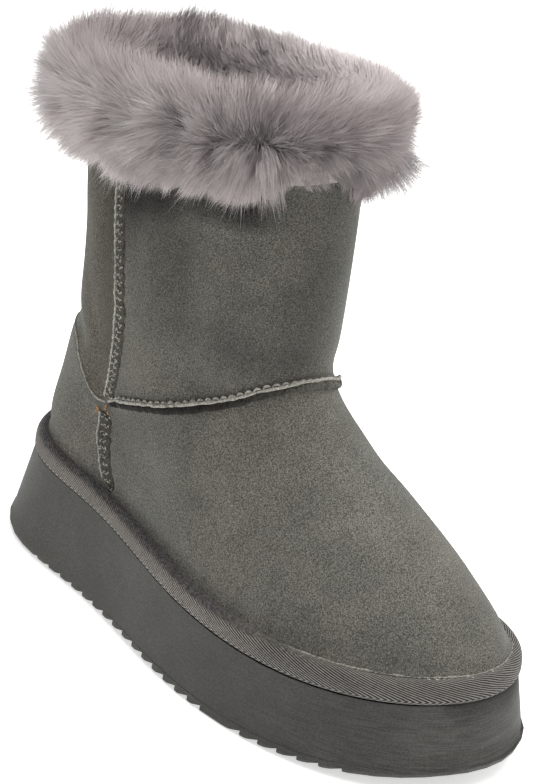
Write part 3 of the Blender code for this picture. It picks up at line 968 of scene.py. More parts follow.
class BOOT_OT_seams(bpy.types.Operator):
    """Seams of the upper: a rolled edge and a stitched band down each side, a thick sewn lip over the
    instep, and a fine edge round the heel counter"""

    bl_idname = "boot.seams"
    bl_label = "Seams and stitches"

    def execute(self, context):
        skin = SHARED["suede"]
        looks = context.scene.boot_seams
        edges = bmesh.new()
        bands = bmesh.new()
        knots = bmesh.new()
        for number, seam in enumerate(SEWN_SEAMS):
            points, normals = skin.route(seam.rows, SEAM_STEP, seam.mirrored)
            flip = -1 if seam.mirrored else 1
            pulled = np.cos(2 * np.pi * along_of(points) / looks.stitch)
            waver = looks.waver * (uneven(len(points), 0.7, 60 + number, 8) - 1 + 0.6 * pulled)
            line = sewing(points, normals, waver, np.full(len(points), EDGE_RISE), flip)
            swell = uneven(len(points), 0.10, 10 + number) + 0.16 * pulled
            sweep(edges, line, normals, rounded(0, 0, looks.edge, looks.edge), swell)
            strip = [(-flip * seam.wide * side * MM, out * MM) for side, out in BAND]
            ends = np.minimum(along_of(points), along_of(points[::-1])[::-1]) / (4 * MM)
            swell = (0.45 + 0.55 * np.clip(ends, 0, 1)) * uneven(len(points), 0.05, 20 + number)
            sweep(bands, points, normals, strip, swell, skin)
            random = np.random.default_rng(70 + number)
            self.knots(knots, skin, points, normals, looks, flip * seam.wide, random)
        self.instep(skin, looks, edges)
        points, normals = skin.route(mirrored_rows(COUNTER_SEAM), SEAM_STEP)
        fine = rounded(0, COUNTER_EDGE_RISE, looks.edge, looks.edge)
        sweep(edges, points, normals, fine, uneven(len(points), 0.12, 31))
        edge_suede = suede_edge("rolled_edge", "#67655D", "#C2BFB4")
        finish_piece(placed("rolled_edges", closed_up(edges), edge_suede), "suede")
        finish_piece(placed("seam_bands", closed_up(bands), pressed_suede()), "suede")
        grey = thread("grey_thread", looks.thread_dark, looks.thread_light)
        finish_piece(placed("seam_knots", closed_up(knots), grey), "tape")
        self.bare_bits(skin)
        return {"FINISHED"}

    def knots(self, mesh, skin, points, normals, looks, across, random):
        """Clusters of small specks of thread where each stitch comes up through the band. across is the
        band's width, and negative on the inner side."""
        share = np.linspace(-1, 1, 4)
        for place in np.arange(looks.stitch / 2, along_of(points)[-1] - looks.stitch / 2, looks.stitch):
            for side, ahead in KNOT_SPECKS:
                middle = place + (ahead + 0.30 * random.normal()) * MM
                at, out = at_along(points, normals, middle + 0.22 * MM * share)
                strayed = (side + 0.25 * random.normal() + random.uniform(-0.1, 0.5) * share) * MM
                flat = sewing(at, out, -strayed, np.zeros(4), across)
                route = skin.laid(flat, (0.62 + 0.22 * (1 - share**2)) * MM)
                radius = looks.thread * random.uniform(0.5, 1.2)
                sweep(mesh, route, out, rounded(0, 0, radius, radius, 6), 1 - 0.4 * share**2)

    def instep(self, skin, looks, edges):
        """The lip over the instep: the two leathers' edges turned out and sewn together, a pale rolled
        edge along its crest, a small hood of suede over each stitch above it, and a rib below."""
        lip = bmesh.new()
        points, normals = skin.route(INSTEP_SEAM, 0.9 * MM)
        along = along_of(points)
        full = np.clip(np.minimum(along, along[-1] - along) / (12 * MM), 0.75, 1.0)
        body = rounded(*LIP_BODY, 12)
        sweep(lip, points, normals, body, full * uneven(len(points), 0.06, 42, 1))
        crest = rounded(*LIP_CREST)
        sweep(edges, points, normals, crest, full * uneven(len(points), 0.13, 41, 1))
        random = np.random.default_rng(43)
        front = np.interp(looks.crown, np.unwrap(np.radians(heading_of(points))) * 180 / np.pi, along)
        share = np.linspace(-1, 1, 9)
        hump = 1 - share**2
        down = np.linspace(0, 1, 5)
        for middle in np.arange(looks.stitch, along[-1] - looks.stitch / 2, looks.stitch):
            at, out = at_along(points, normals, middle + 0.46 * looks.stitch * share)
            size = float(np.interp(middle, along, full))
            size *= 0.45 + 0.55 * np.clip((front - middle) / (10 * MM), 0, 1)
            height = size * (0.75 + 0.12 * random.normal())
            route = sewing(at, out, -(0.95 * size + height * hump) * MM, (1.55 * size - 0.5 * hump) * MM)
            sweep(edges, route, out, rounded(*LIP_HOOD, 6), size * (0.25 + 0.85 * hump))
            lean = (0.3 * down + 0.3 * random.normal()) * looks.stitch * 0.5
            at, out = at_along(points, normals, middle + lean)
            rib = sewing(at, out, (0.6 + 2.6 * down) * MM, (2.45 - 0.5 * down - 0.9 * down**2) * MM)
            swell = random.uniform(0.7, 1.2) * (1 - 0.3 * down)
            sweep(lip, rib, out, rounded(*LIP_RIB, 6), swell)
        # The lip's body takes the painted shade of lip_suede.
        finish_piece(placed("instep_lip", closed_up(lip), lip_suede()), "suede")

    def bare_bits(self, skin):
        """Bare tan leather that shows where the three seams meet on each side."""
        mesh = bmesh.new()
        section = rounded(*BARE_BIT, 6)
        for mirrored in (False, True):
            for number, (heading, height, lean) in enumerate(BARE_BITS):
                top = (heading, height + 0.9 * MM)
                foot = (heading + 0.6, height - 1.1 * MM)
                route = (top, (heading + lean, height), foot)
                points, normals = skin.route(route, 0.5 * MM, mirrored)
                sweep(mesh, points, normals, section, uneven(len(points), 0.25, 50 + number))
        tan = thread("bare_leather", "#8A6A4A", "#C79A6A")
        finish_piece(placed("bare_leather", closed_up(mesh), tan), "suede")


class BOOT_OT_tape(bpy.types.Operator):
    """Twill tape rolled over the bead between upper and sole, and the suede's edge drawn over it"""

    bl_idname = "boot.tape"
    bl_label = "Tape bead"

    def execute(self, context):
        looks = context.scene.boot_tape
        piece = subdivided(placed("twill_bead", sewn("welt_tape"), twill()), 2)
        points = points_of(piece)
        turn = np.degrees(np.arctan2(-points[:, 0], points[:, 1]))
        wedges = np.linspace(-180, 180, 181)
        rim = []
        top = []
        for low, high in zip(wedges[:-1], wedges[1:]):
            here = points[(turn >= low - 2) & (turn < high + 2)]
            reach = np.linalg.norm(here[:, :2], axis=1)
            rim.append(here[reach.argmax(), :2])
            top.append(here[:, 2].max())
        self.chart(piece, points, np.array(rim), looks)
        finish_piece(piece, "tape", "welt_tape")
        middles = (wedges[:-1] + wedges[1:]) / 2
        rows = []
        for heading in range(0, 363, 3):
            place, _ = SHARED["suede"].at(heading, ABOVE_TAPE)
            turn = math.degrees(math.atan2(-place[0], place[1]))
            rows.append((heading, float(np.interp(turn, middles, top, period=360)) - 0.9 * MM))
        points, normals = SHARED["suede"].route(tuple(rows), 1.2 * MM)
        self.tuck(points, normals)
        self.wisps(points, normals, looks)
        return {"FINISHED"}

    def chart(self, piece, points, rim, looks):
        """A UV map in metres: along the tape's outer rim, and round its section from there. The bead's
        lower outer corner is also filled out, so that it sits close on the sole. The map is stretched
        along the rim to hold whole ribs, and a face over its end is charted past the end."""
        rim = rim[np.linalg.norm(rim - np.roll(rim, -1, axis=0), axis=1) > SEW]
        spans = np.roll(rim, -1, axis=0) - rim
        lengths = np.linalg.norm(spans, axis=1)
        starts = np.concatenate([[0], np.cumsum(lengths)[:-1]])
        whole = lengths.sum()
        best = np.full(len(points), np.inf)
        along = np.zeros(len(points))
        facing = np.zeros((len(points), 2))
        for start, at, span, length in zip(rim, starts, spans, lengths):
            share = np.clip(((points[:, :2] - start) @ span) / length**2, 0, 1)
            apart = np.linalg.norm(points[:, :2] - start - share[:, None] * span, axis=1)
            nearer = apart < best
            best[nearer] = apart[nearer]
            along[nearer] = at + share[nearer] * length
            facing[nearer] = np.array([span[1], -span[0]]) / length
        base = points[:, 2] - np.interp(points[:, 1], *SHARED["sole_top"]) - looks.bead_height / 2
        beyond = looks.bead_width / 2 - best
        across = looks.bead_height * 0.6 * np.arctan2(base, beyond) + looks.fold
        facing *= np.sign((facing * points[:, :2]).sum(axis=1, keepdims=True))
        slant = np.arctan2(np.abs(base), np.abs(beyond))
        squarer = (np.cos(slant) ** 4 + np.sin(slant) ** 4) ** (-1 / 4) - 1
        squarer *= (base < 0) & (beyond > 0)
        points[:, :2] += (squarer * beyond)[:, None] * facing
        points[:, 2] += squarer * base
        move_points(piece, points)
        ribs = round(whole / rib_along(looks))
        along *= ribs * rib_along(looks) / whole
        loops = np.empty(len(piece.data.loops), int)
        piece.data.loops.foreach_get("vertex_index", loops)
        u = along[loops]
        sizes = np.array([len(face.vertices) for face in piece.data.polygons])
        firsts = np.concatenate([[0], np.cumsum(sizes)[:-1]])
        highest = np.repeat(np.maximum.reduceat(u, firsts), sizes)
        u = np.where(highest - u > whole / 2, u + ribs * rib_along(looks), u)
        layer = piece.data.uv_layers.new(name="along_tape")
        layer.data.foreach_set("uv", np.stack([u, across[loops]], axis=1).astype(np.float32).ravel())

    def tuck(self, points, normals):
        """The suede's edge, drawn out over the top of the tape, and the line of pale brushed fibres along
        it round the toe. The edge is lower at the toe's tip, and nearly flat where a foot seam meets it."""
        mesh = bmesh.new()
        wedge = [(side * MM, out * MM) for side, out in TUCK]
        turns = heading_of(points) % 360
        size = np.ones(len(points))
        for heading, half_width, lower in TUCK_DIPS:
            size -= lower * around(turns, heading, half_width)
        sweep(mesh, points, normals, wedge, uneven(len(points), 0.03, 90) * size, SHARED["suede"])
        piece = placed("tucked_edge", closed_up(mesh), bpy.data.materials["napped_suede"])
        # The suede's painted light and shade carry on over its drawn-out edge.
        paint_light_and_nap(piece)
        finish_piece(piece, "suede")
        front = (turns > 157) & (turns < 190)
        points, normals = points[front], normals[front]
        count = len(points)
        line = sewing(points, normals, np.full(count, -0.75 * MM), (2.45 * size[front] + 0.35) * MM)
        ends = np.clip(np.sin(np.linspace(0, np.pi, count)), 0.05, 0.5) / 0.5
        swell = np.maximum(uneven(count, 0.42, 91, 1) * ends, 0.1)
        mesh = bmesh.new()
        sweep(mesh, line, normals, rounded(*TOE_FIBRES), swell)
        painted_light_and_brushed_fibres = suede_edge("brushed_fibres", "#4A4843", "#A39F94")
        finish_piece(placed("toe_fuzz", closed_up(mesh), painted_light_and_brushed_fibres), "suede")

    def wisps(self, points, normals, looks):
        """Wisps of thread that show where the tape meets the suede, mostly round the toe."""
        random = np.random.default_rng(7)
        mesh = bmesh.new()
        along = along_of(points)
        share = np.linspace(-1, 1, 6)
        hump = 1 - share**2
        for place in np.arange(0, along[-1], looks.wisp):
            at_toe = float(around(np.interp(place, along, np.linspace(0, 360, len(points))), 180, 40))
            for _ in range(1 + round(3 * at_toe)):
                if random.random() > 0.12 + 1.2 * at_toe:
                    continue
                reach = (0.5 + 1.1 * at_toe) * random.uniform(0.5, 1.2) * MM
                middle = place + random.normal() * looks.wisp * 0.4
                at, out = at_along(points, normals, middle + reach * share)
                lift = (random.uniform(-0.7, 0.9) + 0.3 * share * random.normal()) * MM
                route = sewing(at, out, lift, (2.4 + random.uniform(0.2, 1.2) * hump) * MM)
                radius = looks.wisp_thread * random.uniform(0.6, 1.1) * (0.7 + 0.5 * at_toe)
                sweep(mesh, route, out, rounded(0, 0, radius, radius, 5), 0.4 + 0.7 * hump)
        grey = thread("tape_thread", "#8A8880", "#C4C1B7")
        finish_piece(placed("tape_loops", closed_up(mesh), grey), "tape")


class BOOT_OT_sole(bpy.types.Operator):
    """Moulded foam platform with its ripple tread"""

    bl_idname = "boot.sole"
    bl_label = "Platform sole"

    def execute(self, context):
        mesh = sewn("platform_sole")
        piece = placed("foam_platform", mesh, foam())
        piece.data.set_sharp_from_angle(angle=math.radians(35))
        points = points_of(piece)
        upper_rim = points[points[:, 2] > 30 * MM]
        back = upper_rim[:, 1]
        knots = np.linspace(back.min(), back.max(), 24)
        heights = [upper_rim[np.abs(back - knot) < 10 * MM, 2].max() for knot in knots]
        SHARED["sole_top"] = (knots, heights)
        finish_piece(piece, "sole", "platform_sole")
        self.mould_line(piece, context.scene.boot_sole)
        return {"FINISHED"}

    def mould_line(self, piece, looks):
        """The fine raised line that the mould's joint leaves round the toe, level with the ground."""
        wall = Skin(piece)
        rows = []
        for heading in range(106, 255, 4):
            place, _ = wall.at(heading, 16 * MM)
            lift = np.clip((-place[1] - looks.spring_from) / looks.spring_run, 0, 1) ** 1.8
            rows.append((heading, looks.line + looks.spring * lift))
        points, normals = wall.route(tuple(rows), 1.5 * MM)
        mesh = bmesh.new()
        share = np.linspace(0, np.pi, len(points))
        sweep(mesh, points, normals, rounded(*MOULD_LINE, 6), np.sin(share) ** 0.4 + 0.05)
        finish_piece(placed("mould_line", closed_up(mesh), bpy.data.materials["moulded_foam"]), "sole")


def cuff_chart(points):
    """Each point's heading, its distance out from the collar's edge and above it, and the outward and
    forward directions there."""
    ring = SHARED["collar"]
    heading = heading_of(points)
    turns = heading_of(ring)
    order = np.argsort(turns)
    turns = turns[order]
    ring = ring[order]
    ahead = np.roll(ring, -1, axis=0) - np.roll(ring, 1, axis=0)
    forward = unit(np.stack([ahead[:, 0], ahead[:, 1], np.zeros(len(ring))], axis=1))
    outward = np.stack([-forward[:, 1], forward[:, 0], np.zeros(len(ring))], axis=1)
    if (outward[:, :2] * (ring[:, :2] - [0, ANKLE_Y])).sum() < 0:
        outward = -outward

    def at(values):
        return np.stack([np.interp(heading, turns, values[:, k], period=360) for k in range(3)], axis=1)

    edge = at(ring)
    outward = unit(at(outward))
    forward = unit(at(forward))
    return heading, ((points - edge) * outward).sum(axis=1), points[:, 2] - edge[:, 2], outward, forward


def shares_by(turn, rows):
    """A value at each turn round the cuff's section, from rows of turn and value."""
    return np.interp(turn, *zip(*rows))


def from_parting(heading):
    """-1 to 1: how far, and on which side, a heading lies from the fur's parting."""
    turn = np.radians(heading - bpy.context.scene.boot_fur.parting)
    return np.sin(turn) / np.sqrt(np.sin(turn) ** 2 + 0.12)


def around(heading, middle, half_width):
    """1 at a heading, falling smoothly to 0 at a half width on either side."""
    apart = np.abs((heading - middle + 180) % 360 - 180) / half_width
    return np.where(apart < 1, 0.5 + 0.5 * np.cos(np.pi * np.minimum(apart, 1)), 0.0)


def thin_spot(heading, turn):
    """1 where the cuff's lower edge shows, through thin fur toward the front, and 0 elsewhere."""
    looks = bpy.context.scene.boot_fur
    across = np.clip(1.4 * around(heading, looks.bare_heading, looks.bare_half_width), 0, 1)
    return across * np.clip((14 - turn) / 25, 0, 1)


# Where hairs grow: their places, the coat's normals there, and how they lie on the cuff.
Roots = namedtuple("Roots", "place normal heading turn outward forward")


def rooted(coat, count, random, density):
    """Random places on the undercoat, thicker where density is greater."""
    mesh = coat.data
    mesh.calc_loop_triangles()
    corners = np.empty(len(mesh.loop_triangles) * 3, int)
    mesh.loop_triangles.foreach_get("vertices", corners)
    corners = corners.reshape(-1, 3)
    points = points_of(coat)
    normals = normals_of(coat)
    a, b, c = (points[corners[:, k]] for k in range(3))
    area = np.linalg.norm(np.cross(b - a, c - a), axis=1) / 2
    heading, out, rise, outward, _ = cuff_chart((a + b + c) / 3)
    turn = section_turn(out, rise)
    facing = unit(normals[corners].mean(axis=1))
    way = out_and_up(np.cos(np.radians(turn)), np.sin(np.radians(turn)), outward)
    weight = area * density(heading, turn) * np.clip((facing * way).sum(axis=1) * 3, 0, 1)
    picked = random.choice(len(area), count, p=weight / weight.sum())
    u, v = random.random((2, count))
    over = u + v > 1
    u[over], v[over] = 1 - u[over], 1 - v[over]
    share = np.stack([1 - u - v, u, v], axis=1)[:, :, None]
    place = (points[corners[picked]] * share).sum(axis=1)
    normal = unit((normals[corners[picked]] * share).sum(axis=1))
    heading, out, rise, outward, forward = cuff_chart(place)
    return Roots(place, normal, heading, section_turn(out, rise), outward, forward)


def section_turn(out, rise):
    """The turn round the cuff's cross-section, from -140 to 220."""
    turn = np.degrees(np.arctan2(rise - CUFF_RISE, out - CUFF_OUT))
    return np.where(turn < -140, turn + 360, turn)


def out_and_up(out, up, outward):
    """A way out from the cuff's edge and up from it, as one direction for each place."""
    return out[:, None] * outward + up[:, None] * UP


def gathered(places, size, random):
    """Leaders picked among places, about one for each size of them, and each place's nearest leader."""
    leaders = random.choice(len(places), max(1, int(len(places) / size)), replace=False)
    tree = KDTree(len(leaders))
    for number, place in enumerate(places[leaders]):
        tree.insert(place, number)
    tree.balance()
    return leaders, np.array([tree.find(place)[1] for place in places])


def combed(roots, random, looks):
    """Each hair's path, from its root to its tip, with its tuft, its lock, its width and its tone. Hairs
    close up in tufts, and tufts lean together in locks of their own length."""
    count = len(roots.place)
    rows = eased([row.turn for row in COAT], [row[1:] for row in COAT], roots.turn)
    length, out, up, tone = rows.T
    length = length * np.interp(roots.heading, *zip(*COAT_AROUND), period=360)
    for hung in LOCKS:
        share = around(roots.heading, hung.heading, hung.half_width)
        share = share * np.clip((hung.below - roots.turn) / 15, 0, 1)
        length = length * (1 + hung.longer * share)
        up = up - hung.hang * share
        out = out * (1 - 0.5 * hung.hang * share)
    length = length * (1 - looks.bare_trim * thin_spot(roots.heading, roots.turn))
    guard = random.random(count) < looks.guard_share
    length = length * np.clip(random.normal(0.86, 0.20, count) + 0.32 * guard, 0.4, 1.6)
    swept = from_parting(roots.heading) * np.where(roots.turn > 100, 0.25, 0.62)
    way = out_and_up(out, up, roots.outward) + swept[:, None] * roots.forward

    leaders, tuft = gathered(roots.place, looks.tuft_hairs, random)
    heads, lock = gathered(roots.place[leaders], looks.lock_hairs / looks.tuft_hairs, random)
    heads, lock = leaders[heads], lock[tuft]
    wild = shares_by(roots.turn, WILD)[:, None]
    stray = random.normal(0, looks.tuft_stray, (len(leaders), 3))[tuft] * np.minimum(wild + 0.1, 1)
    stray += random.normal(0, looks.lock_stray, (len(heads), 3))[lock] * wild
    longer = np.clip(random.normal(1, 0.17, len(heads)), 0.6, 1.5)[lock] - 1
    length = length * (1 + longer * np.minimum(wild[:, 0], 1))
    way = unit(unit(way) + stray + random.normal(0, looks.hair_stray, (count, 3)))
    level = 1 - np.abs(way[:, 2])
    bend = -looks.droop * level[:, None] * UP + 0.18 * swept[:, None] * roots.forward
    bend += random.normal(0, 0.10, (count, 3))
    bend += random.normal(0, 0.16, (len(leaders), 3))[tuft] * np.minimum(wild, 1)

    steps = STEPS[None, :, None]
    path = roots.place[:, None] + length[:, None, None] * (way[:, None] * steps + bend[:, None] * steps**2)
    closing = (looks.tuft_pull * shares_by(roots.turn, CLOSING))[:, None, None] * steps**1.4
    path = drawn_to(path, leaders, tuft, roots.place, 0.30, closing)
    path = drawn_to(path, heads, lock, roots.place, 0.45, looks.lock_pull * wild[:, :, None] * steps**1.8)
    path = trimmed(path, roots.place, random)
    width = looks.hair_width * random.uniform(0.75, 1.2, count) * np.where(guard, 1.2, 0.95)
    return path, tuft, lock, width, tone


def drawn_to(path, leaders, mine, roots, apart, pull):
    """Paths pulled toward those of their leaders, keeping a share of the room between their roots."""
    led = path[leaders][mine] + apart * (roots - roots[leaders][mine])[:, None]
    return path * (1 - pull) + led * pull


def trimmed(path, roots, random):
    """Paths cut short where they would leave the room that the fur has."""
    grown = path[:, -1] - roots
    low, high = (np.array(corner) for corner in FUR_REACH)
    spare = random.uniform(0, 3 * MM, (len(roots), 1))
    room = np.where(grown > 0, high - spare - roots, roots - low - spare)
    share = np.clip((room / np.maximum(np.abs(grown), 1e-9)).min(axis=1), 0.2, 1)
    return roots[:, None] + share[:, None, None] * (path - roots[:, None])


def hair_piece(name, path, roots, tone, width, random, material):
    """Flat tapered hairs as one mesh, with their tone and length mapped, shaded with the coat's form."""
    count, knots, _ = path.shape
    along = unit(np.gradient(path, axis=1))
    face = unit(roots.normal + 0.7 * UP + random.normal(0, 0.35, (count, 3)))
    side = unit(np.cross(along, face[:, None]))
    taper = np.array([1.0, 0.85])[None, :, None]
    half = 0.5 * width[:, None, None] * taper
    left = path[:, :-1] - side[:, :-1] * half
    right = path[:, :-1] + side[:, :-1] * half
    verts = np.concatenate([np.stack([left, right], axis=2).reshape(count, -1, 3), path[:, -1:]], axis=1)
    each = verts.shape[1]
    quads = [[2 * k, 2 * k + 1, 2 * k + 3, 2 * k + 2] for k in range(knots - 2)]
    pattern = np.array(sum(quads, []) + [each - 3, each - 2, each - 1])
    sizes = np.array([4] * (knots - 2) + [3])
    loops = (np.arange(count)[:, None] * each + pattern).ravel()
    starts = (np.arange(count)[:, None] * len(pattern) + np.concatenate([[0], np.cumsum(sizes)[:-1]])).ravel()
    mesh = bpy.data.meshes.new(name)
    mesh.vertices.add(count * each)
    mesh.vertices.foreach_set("co", verts.astype(np.float32).ravel())
    mesh.loops.add(len(loops))
    mesh.loops.foreach_set("vertex_index", loops.astype(np.int32))
    mesh.polygons.add(len(starts))
    mesh.polygons.foreach_set("loop_start", starts.astype(np.int32))
    mesh.update(calc_edges=True)
    share = np.append(np.repeat(STEPS[:-1], 2), 1.0)
    where = np.stack([np.repeat(tone, len(pattern)), np.tile(share[pattern], count)], axis=1)
    layer = mesh.uv_layers.new(name="along_hair")
    layer.data.foreach_set("uv", where.astype(np.float32).ravel())
    mesh.shade_smooth()
    flat = unit(np.cross(side, along))
    flat *= np.sign((flat * face[:, None]).sum(axis=2, keepdims=True) + 1e-9)
    shown = unit(0.35 * flat + 0.80 * roots.normal[:, None] + 0.25 * UP + 0.20 * along)
    shown = np.concatenate([np.repeat(shown[:, :-1], 2, axis=1), shown[:, -1:]], axis=1)
    mesh.normals_split_custom_set_from_vertices(shown.reshape(-1, 3).tolist())
    piece = bpy.data.objects.new(name, mesh)
    bpy.context.scene.collection.objects.link(piece)
    mesh.materials.append(material)
    return piece


class BOOT_OT_fur(bpy.types.Operator):
    """Deep fur cuff: a dense undercoat and long hair in tufts, parted over the outer side"""

    bl_idname = "boot.fur"
    bl_label = "Fur cuff"

    def execute(self, context):
        looks = context.scene.boot_fur
        coat = self.undercoat(looks)
        material = hair()
        for number, part in enumerate(FUR_PARTS):
            random = np.random.default_rng(100 + number)

            def density(heading, turn):
                inside = (turn >= part.low) & (turn < part.high)
                return inside * (1 - looks.bare * thin_spot(heading, turn))

            roots = rooted(coat, part.hairs, random, density)
            path, tuft, lock, width, tone = combed(roots, random, looks)
            tone += 0.5 + 0.14 * random.normal(size=part.hairs)
            tone += 0.06 * random.normal(size=tuft.max() + 1)[tuft]
            tone += 0.09 * random.normal(size=lock.max() + 1)[lock]
            # Painted light and shade in patches of the coat.
            for patch in FUR_LIGHT_AND_SHADE:
                within = np.clip(np.minimum(roots.turn - patch.low, patch.high - roots.turn) / 15, 0, 1)
                tone += patch.tone * within * around(roots.heading, patch.heading, patch.half_width)
            tone = np.clip(tone, 0, 1)
            piece = hair_piece(part.name, path, roots, tone, width, random, material)
            finish_piece(piece, "fur")
        return {"FINISHED"}

    def undercoat(self, looks):
        """The dense woolly body under the long hair: the cuff drawn in toward the middle of its section,
        with a valley at the parting and a skirt that hugs the shaft."""
        coat = subdivided(placed("fur_undercoat", sewn("fur_cuff"), underwool()), 2)
        points = points_of(coat)
        heading, out, rise, outward, _ = cuff_chart(points)
        turn = section_turn(out, rise)
        centre = points - out_and_up(out - CUFF_OUT, rise - CUFF_RISE, outward)
        keep = np.full(len(points), looks.under_share)
        valley = np.exp(-(((turn - 8) / 14) ** 2)) * (0.15 + 0.85 * around(heading, 152, 60))
        keep -= looks.valley * valley
        skirt = np.clip((CUFF_OUT - 0.001 - out) / 0.003, 0, 1) * (rise < 0) * (out > -0.001)
        keep = keep * (1 - skirt) + skirt * 0.76
        keep -= looks.hem_rise * thin_spot(heading, turn)
        move_points(coat, centre + keep[:, None] * (points - centre))
        finish_piece(coat, "fur", "fur_cuff")
        return coat


class BOOT_OT_stage(bpy.types.Operator):
    """Pale floor, soft studio light and the camera"""

    bl_idname = "boot.stage"
    bl_label = "Stage"

    def execute(self, context):
        looks = context.scene.boot_stage
        mesh = bmesh.new()
        bmesh.ops.create_grid(mesh, x_segments=8, y_segments=8, size=12.0)
        floor = placed("studio_floor", mesh, floor_light())
        world = bpy.data.worlds.new("studio")
        world.use_nodes = True
        world.node_tree.nodes["Background"].inputs["Color"].default_value = (1.0, 1.0, 1.0, 1.0)
        world.node_tree.nodes["Background"].inputs["Strength"].default_value = looks.surround
        context.scene.world = world
        for box in LAMPS:
            lamp = bpy.data.lights.new(box.name, "AREA")
            lamp.shape = "SQUARE"
            lamp.size = box.side
            lamp.energy = box.power
            holder = bpy.data.objects.new(box.name, lamp)
            holder.location = box.place
            holder.rotation_euler = (LIT_POINT - Vector(box.place)).to_track_quat("-Z", "Y").to_euler()
            context.scene.collection.objects.link(holder)
        self.camera(context, looks)
        context.scene.view_settings.view_transform = "Standard"
        return {"FINISHED"}

    def camera(self, context, looks):
        """The camera, placed by its heading, elevation and roll about a point in the boot."""
        turn = math.radians(looks.heading)
        lift = math.radians(looks.elevation)
        roll = math.radians(looks.roll)
        back = Vector((math.sin(turn) * math.cos(lift), -math.cos(turn) * math.cos(lift), math.sin(lift)))
        level = Vector((math.cos(turn), math.sin(turn), 0.0))
        upright = back.cross(level)
        right = math.cos(roll) * level + math.sin(roll) * upright
        up = math.cos(roll) * upright - math.sin(roll) * level
        data = bpy.data.cameras.new("camera")
        data.sensor_width = SENSOR
        data.lens = looks.lens
        data.shift_x = looks.shift_x
        data.shift_y = looks.shift_y
        data.clip_end = 20.0
        holder = bpy.data.objects.new("camera", data)
        turned = Matrix((right, up, back)).transposed().to_4x4()
        holder.matrix_world = Matrix.Translation(Vector(looks.target) + looks.distance * back) @ turned
        context.scene.collection.objects.link(holder)
        context.scene.camera = holder


# --- sizes and colours -----------------------------------------------------------------------------


def number_prop(name, description, default):
    """A share, an angle in degrees, or a count."""
    return FloatProperty(name=name, description=description, default=default)


def length_prop(name, description, default):
    """A size in metres, shown in the scene's unit."""
    return FloatProperty(name=name, description=description, default=default, unit="LENGTH", precision=5)


def colour_prop(name, description, default):
    """A colour of the boot."""
    return StringProperty(name=name, description=description + ", as an sRGB hex value", default=default)


class BootSuede(bpy.types.PropertyGroup):
    """The suede and the pile that lines it"""

    thickness: length_prop("Suede", "Thickness of the suede", 0.0014)
    counter: length_prop("Counter", "How far the heel counter stands proud", 0.0007)
    lining: length_prop("Lining", "Thickness of the pile lining", 0.0018)
    nap: length_prop("Nap", "Size of the nap's speckle", 0.0006)
    cloud: length_prop("Cloud", "Size of the brushed clouds", 0.026)
    light: colour_prop("Light", "Suede where the nap is raised", "#6A6862")
    dark: colour_prop("Dark", "Suede where the nap lies flat", "#5D5C57")


class BootSeams(bpy.types.PropertyGroup):
    """The seams and their thread"""

    stitch: length_prop("Stitch", "Length of a stitch", 0.0039)
    thread: length_prop("Thread", "Radius of the thread", 0.00030)
    edge: length_prop("Edge", "Radius of a rolled edge", 0.00050)
    waver: length_prop("Waver", "How far a rolled edge strays from its seam", 0.00025)
    crown: number_prop("Crown", "Heading past which the instep's hoods flatten", 174)
    thread_dark: colour_prop("Thread dark", "Darker ply", "#8F8E86")
    thread_light: colour_prop("Thread light", "Lighter ply", "#D9D7CC")


class BootTape(bpy.types.PropertyGroup):
    """The twill tape round the bead"""

    rib: length_prop("Rib", "Spacing of the twill's ribs", 0.0012)
    rib_angle: number_prop("Rib angle", "Angle of the ribs to the tape, in degrees", 24)
    fold: length_prop("Fold", "How far below the bead's middle the twill turns back", 0.0038)
    bead_height: length_prop("Bead height", "Height of the bead", 0.011)
    bead_width: length_prop("Bead width", "Width of the bead", 0.010)
    wisp: length_prop("Wisp", "Spacing of the thread wisps", 0.0030)
    wisp_thread: length_prop("Wisp thread", "Radius of the wisps' thread", 0.00026)
    light: colour_prop("Light", "Top of a rib", "#968F87")
    dark: colour_prop("Dark", "Between the ribs", "#24221F")
    toe_light: colour_prop("Toe light", "Top of a rib at the toe", "#817E78")
    toe_dark: colour_prop("Toe dark", "Between the ribs at the toe", "#0E0D0D")


class BootSole(bpy.types.PropertyGroup):
    """The foam platform"""

    line: length_prop("Mould line", "Height of the mould's line", 0.0050)
    spring: length_prop("Toe spring", "How far the toe's tip lifts", 0.0075)
    spring_from: length_prop("Spring from", "Where the toe begins to lift, ahead of the middle", 0.046)
    spring_run: length_prop("Spring run", "Length of the lift", 0.0845)
    light: colour_prop("Light", "Paler foam", "#4F4E4A")
    dark: colour_prop("Dark", "Darker foam", "#464541")


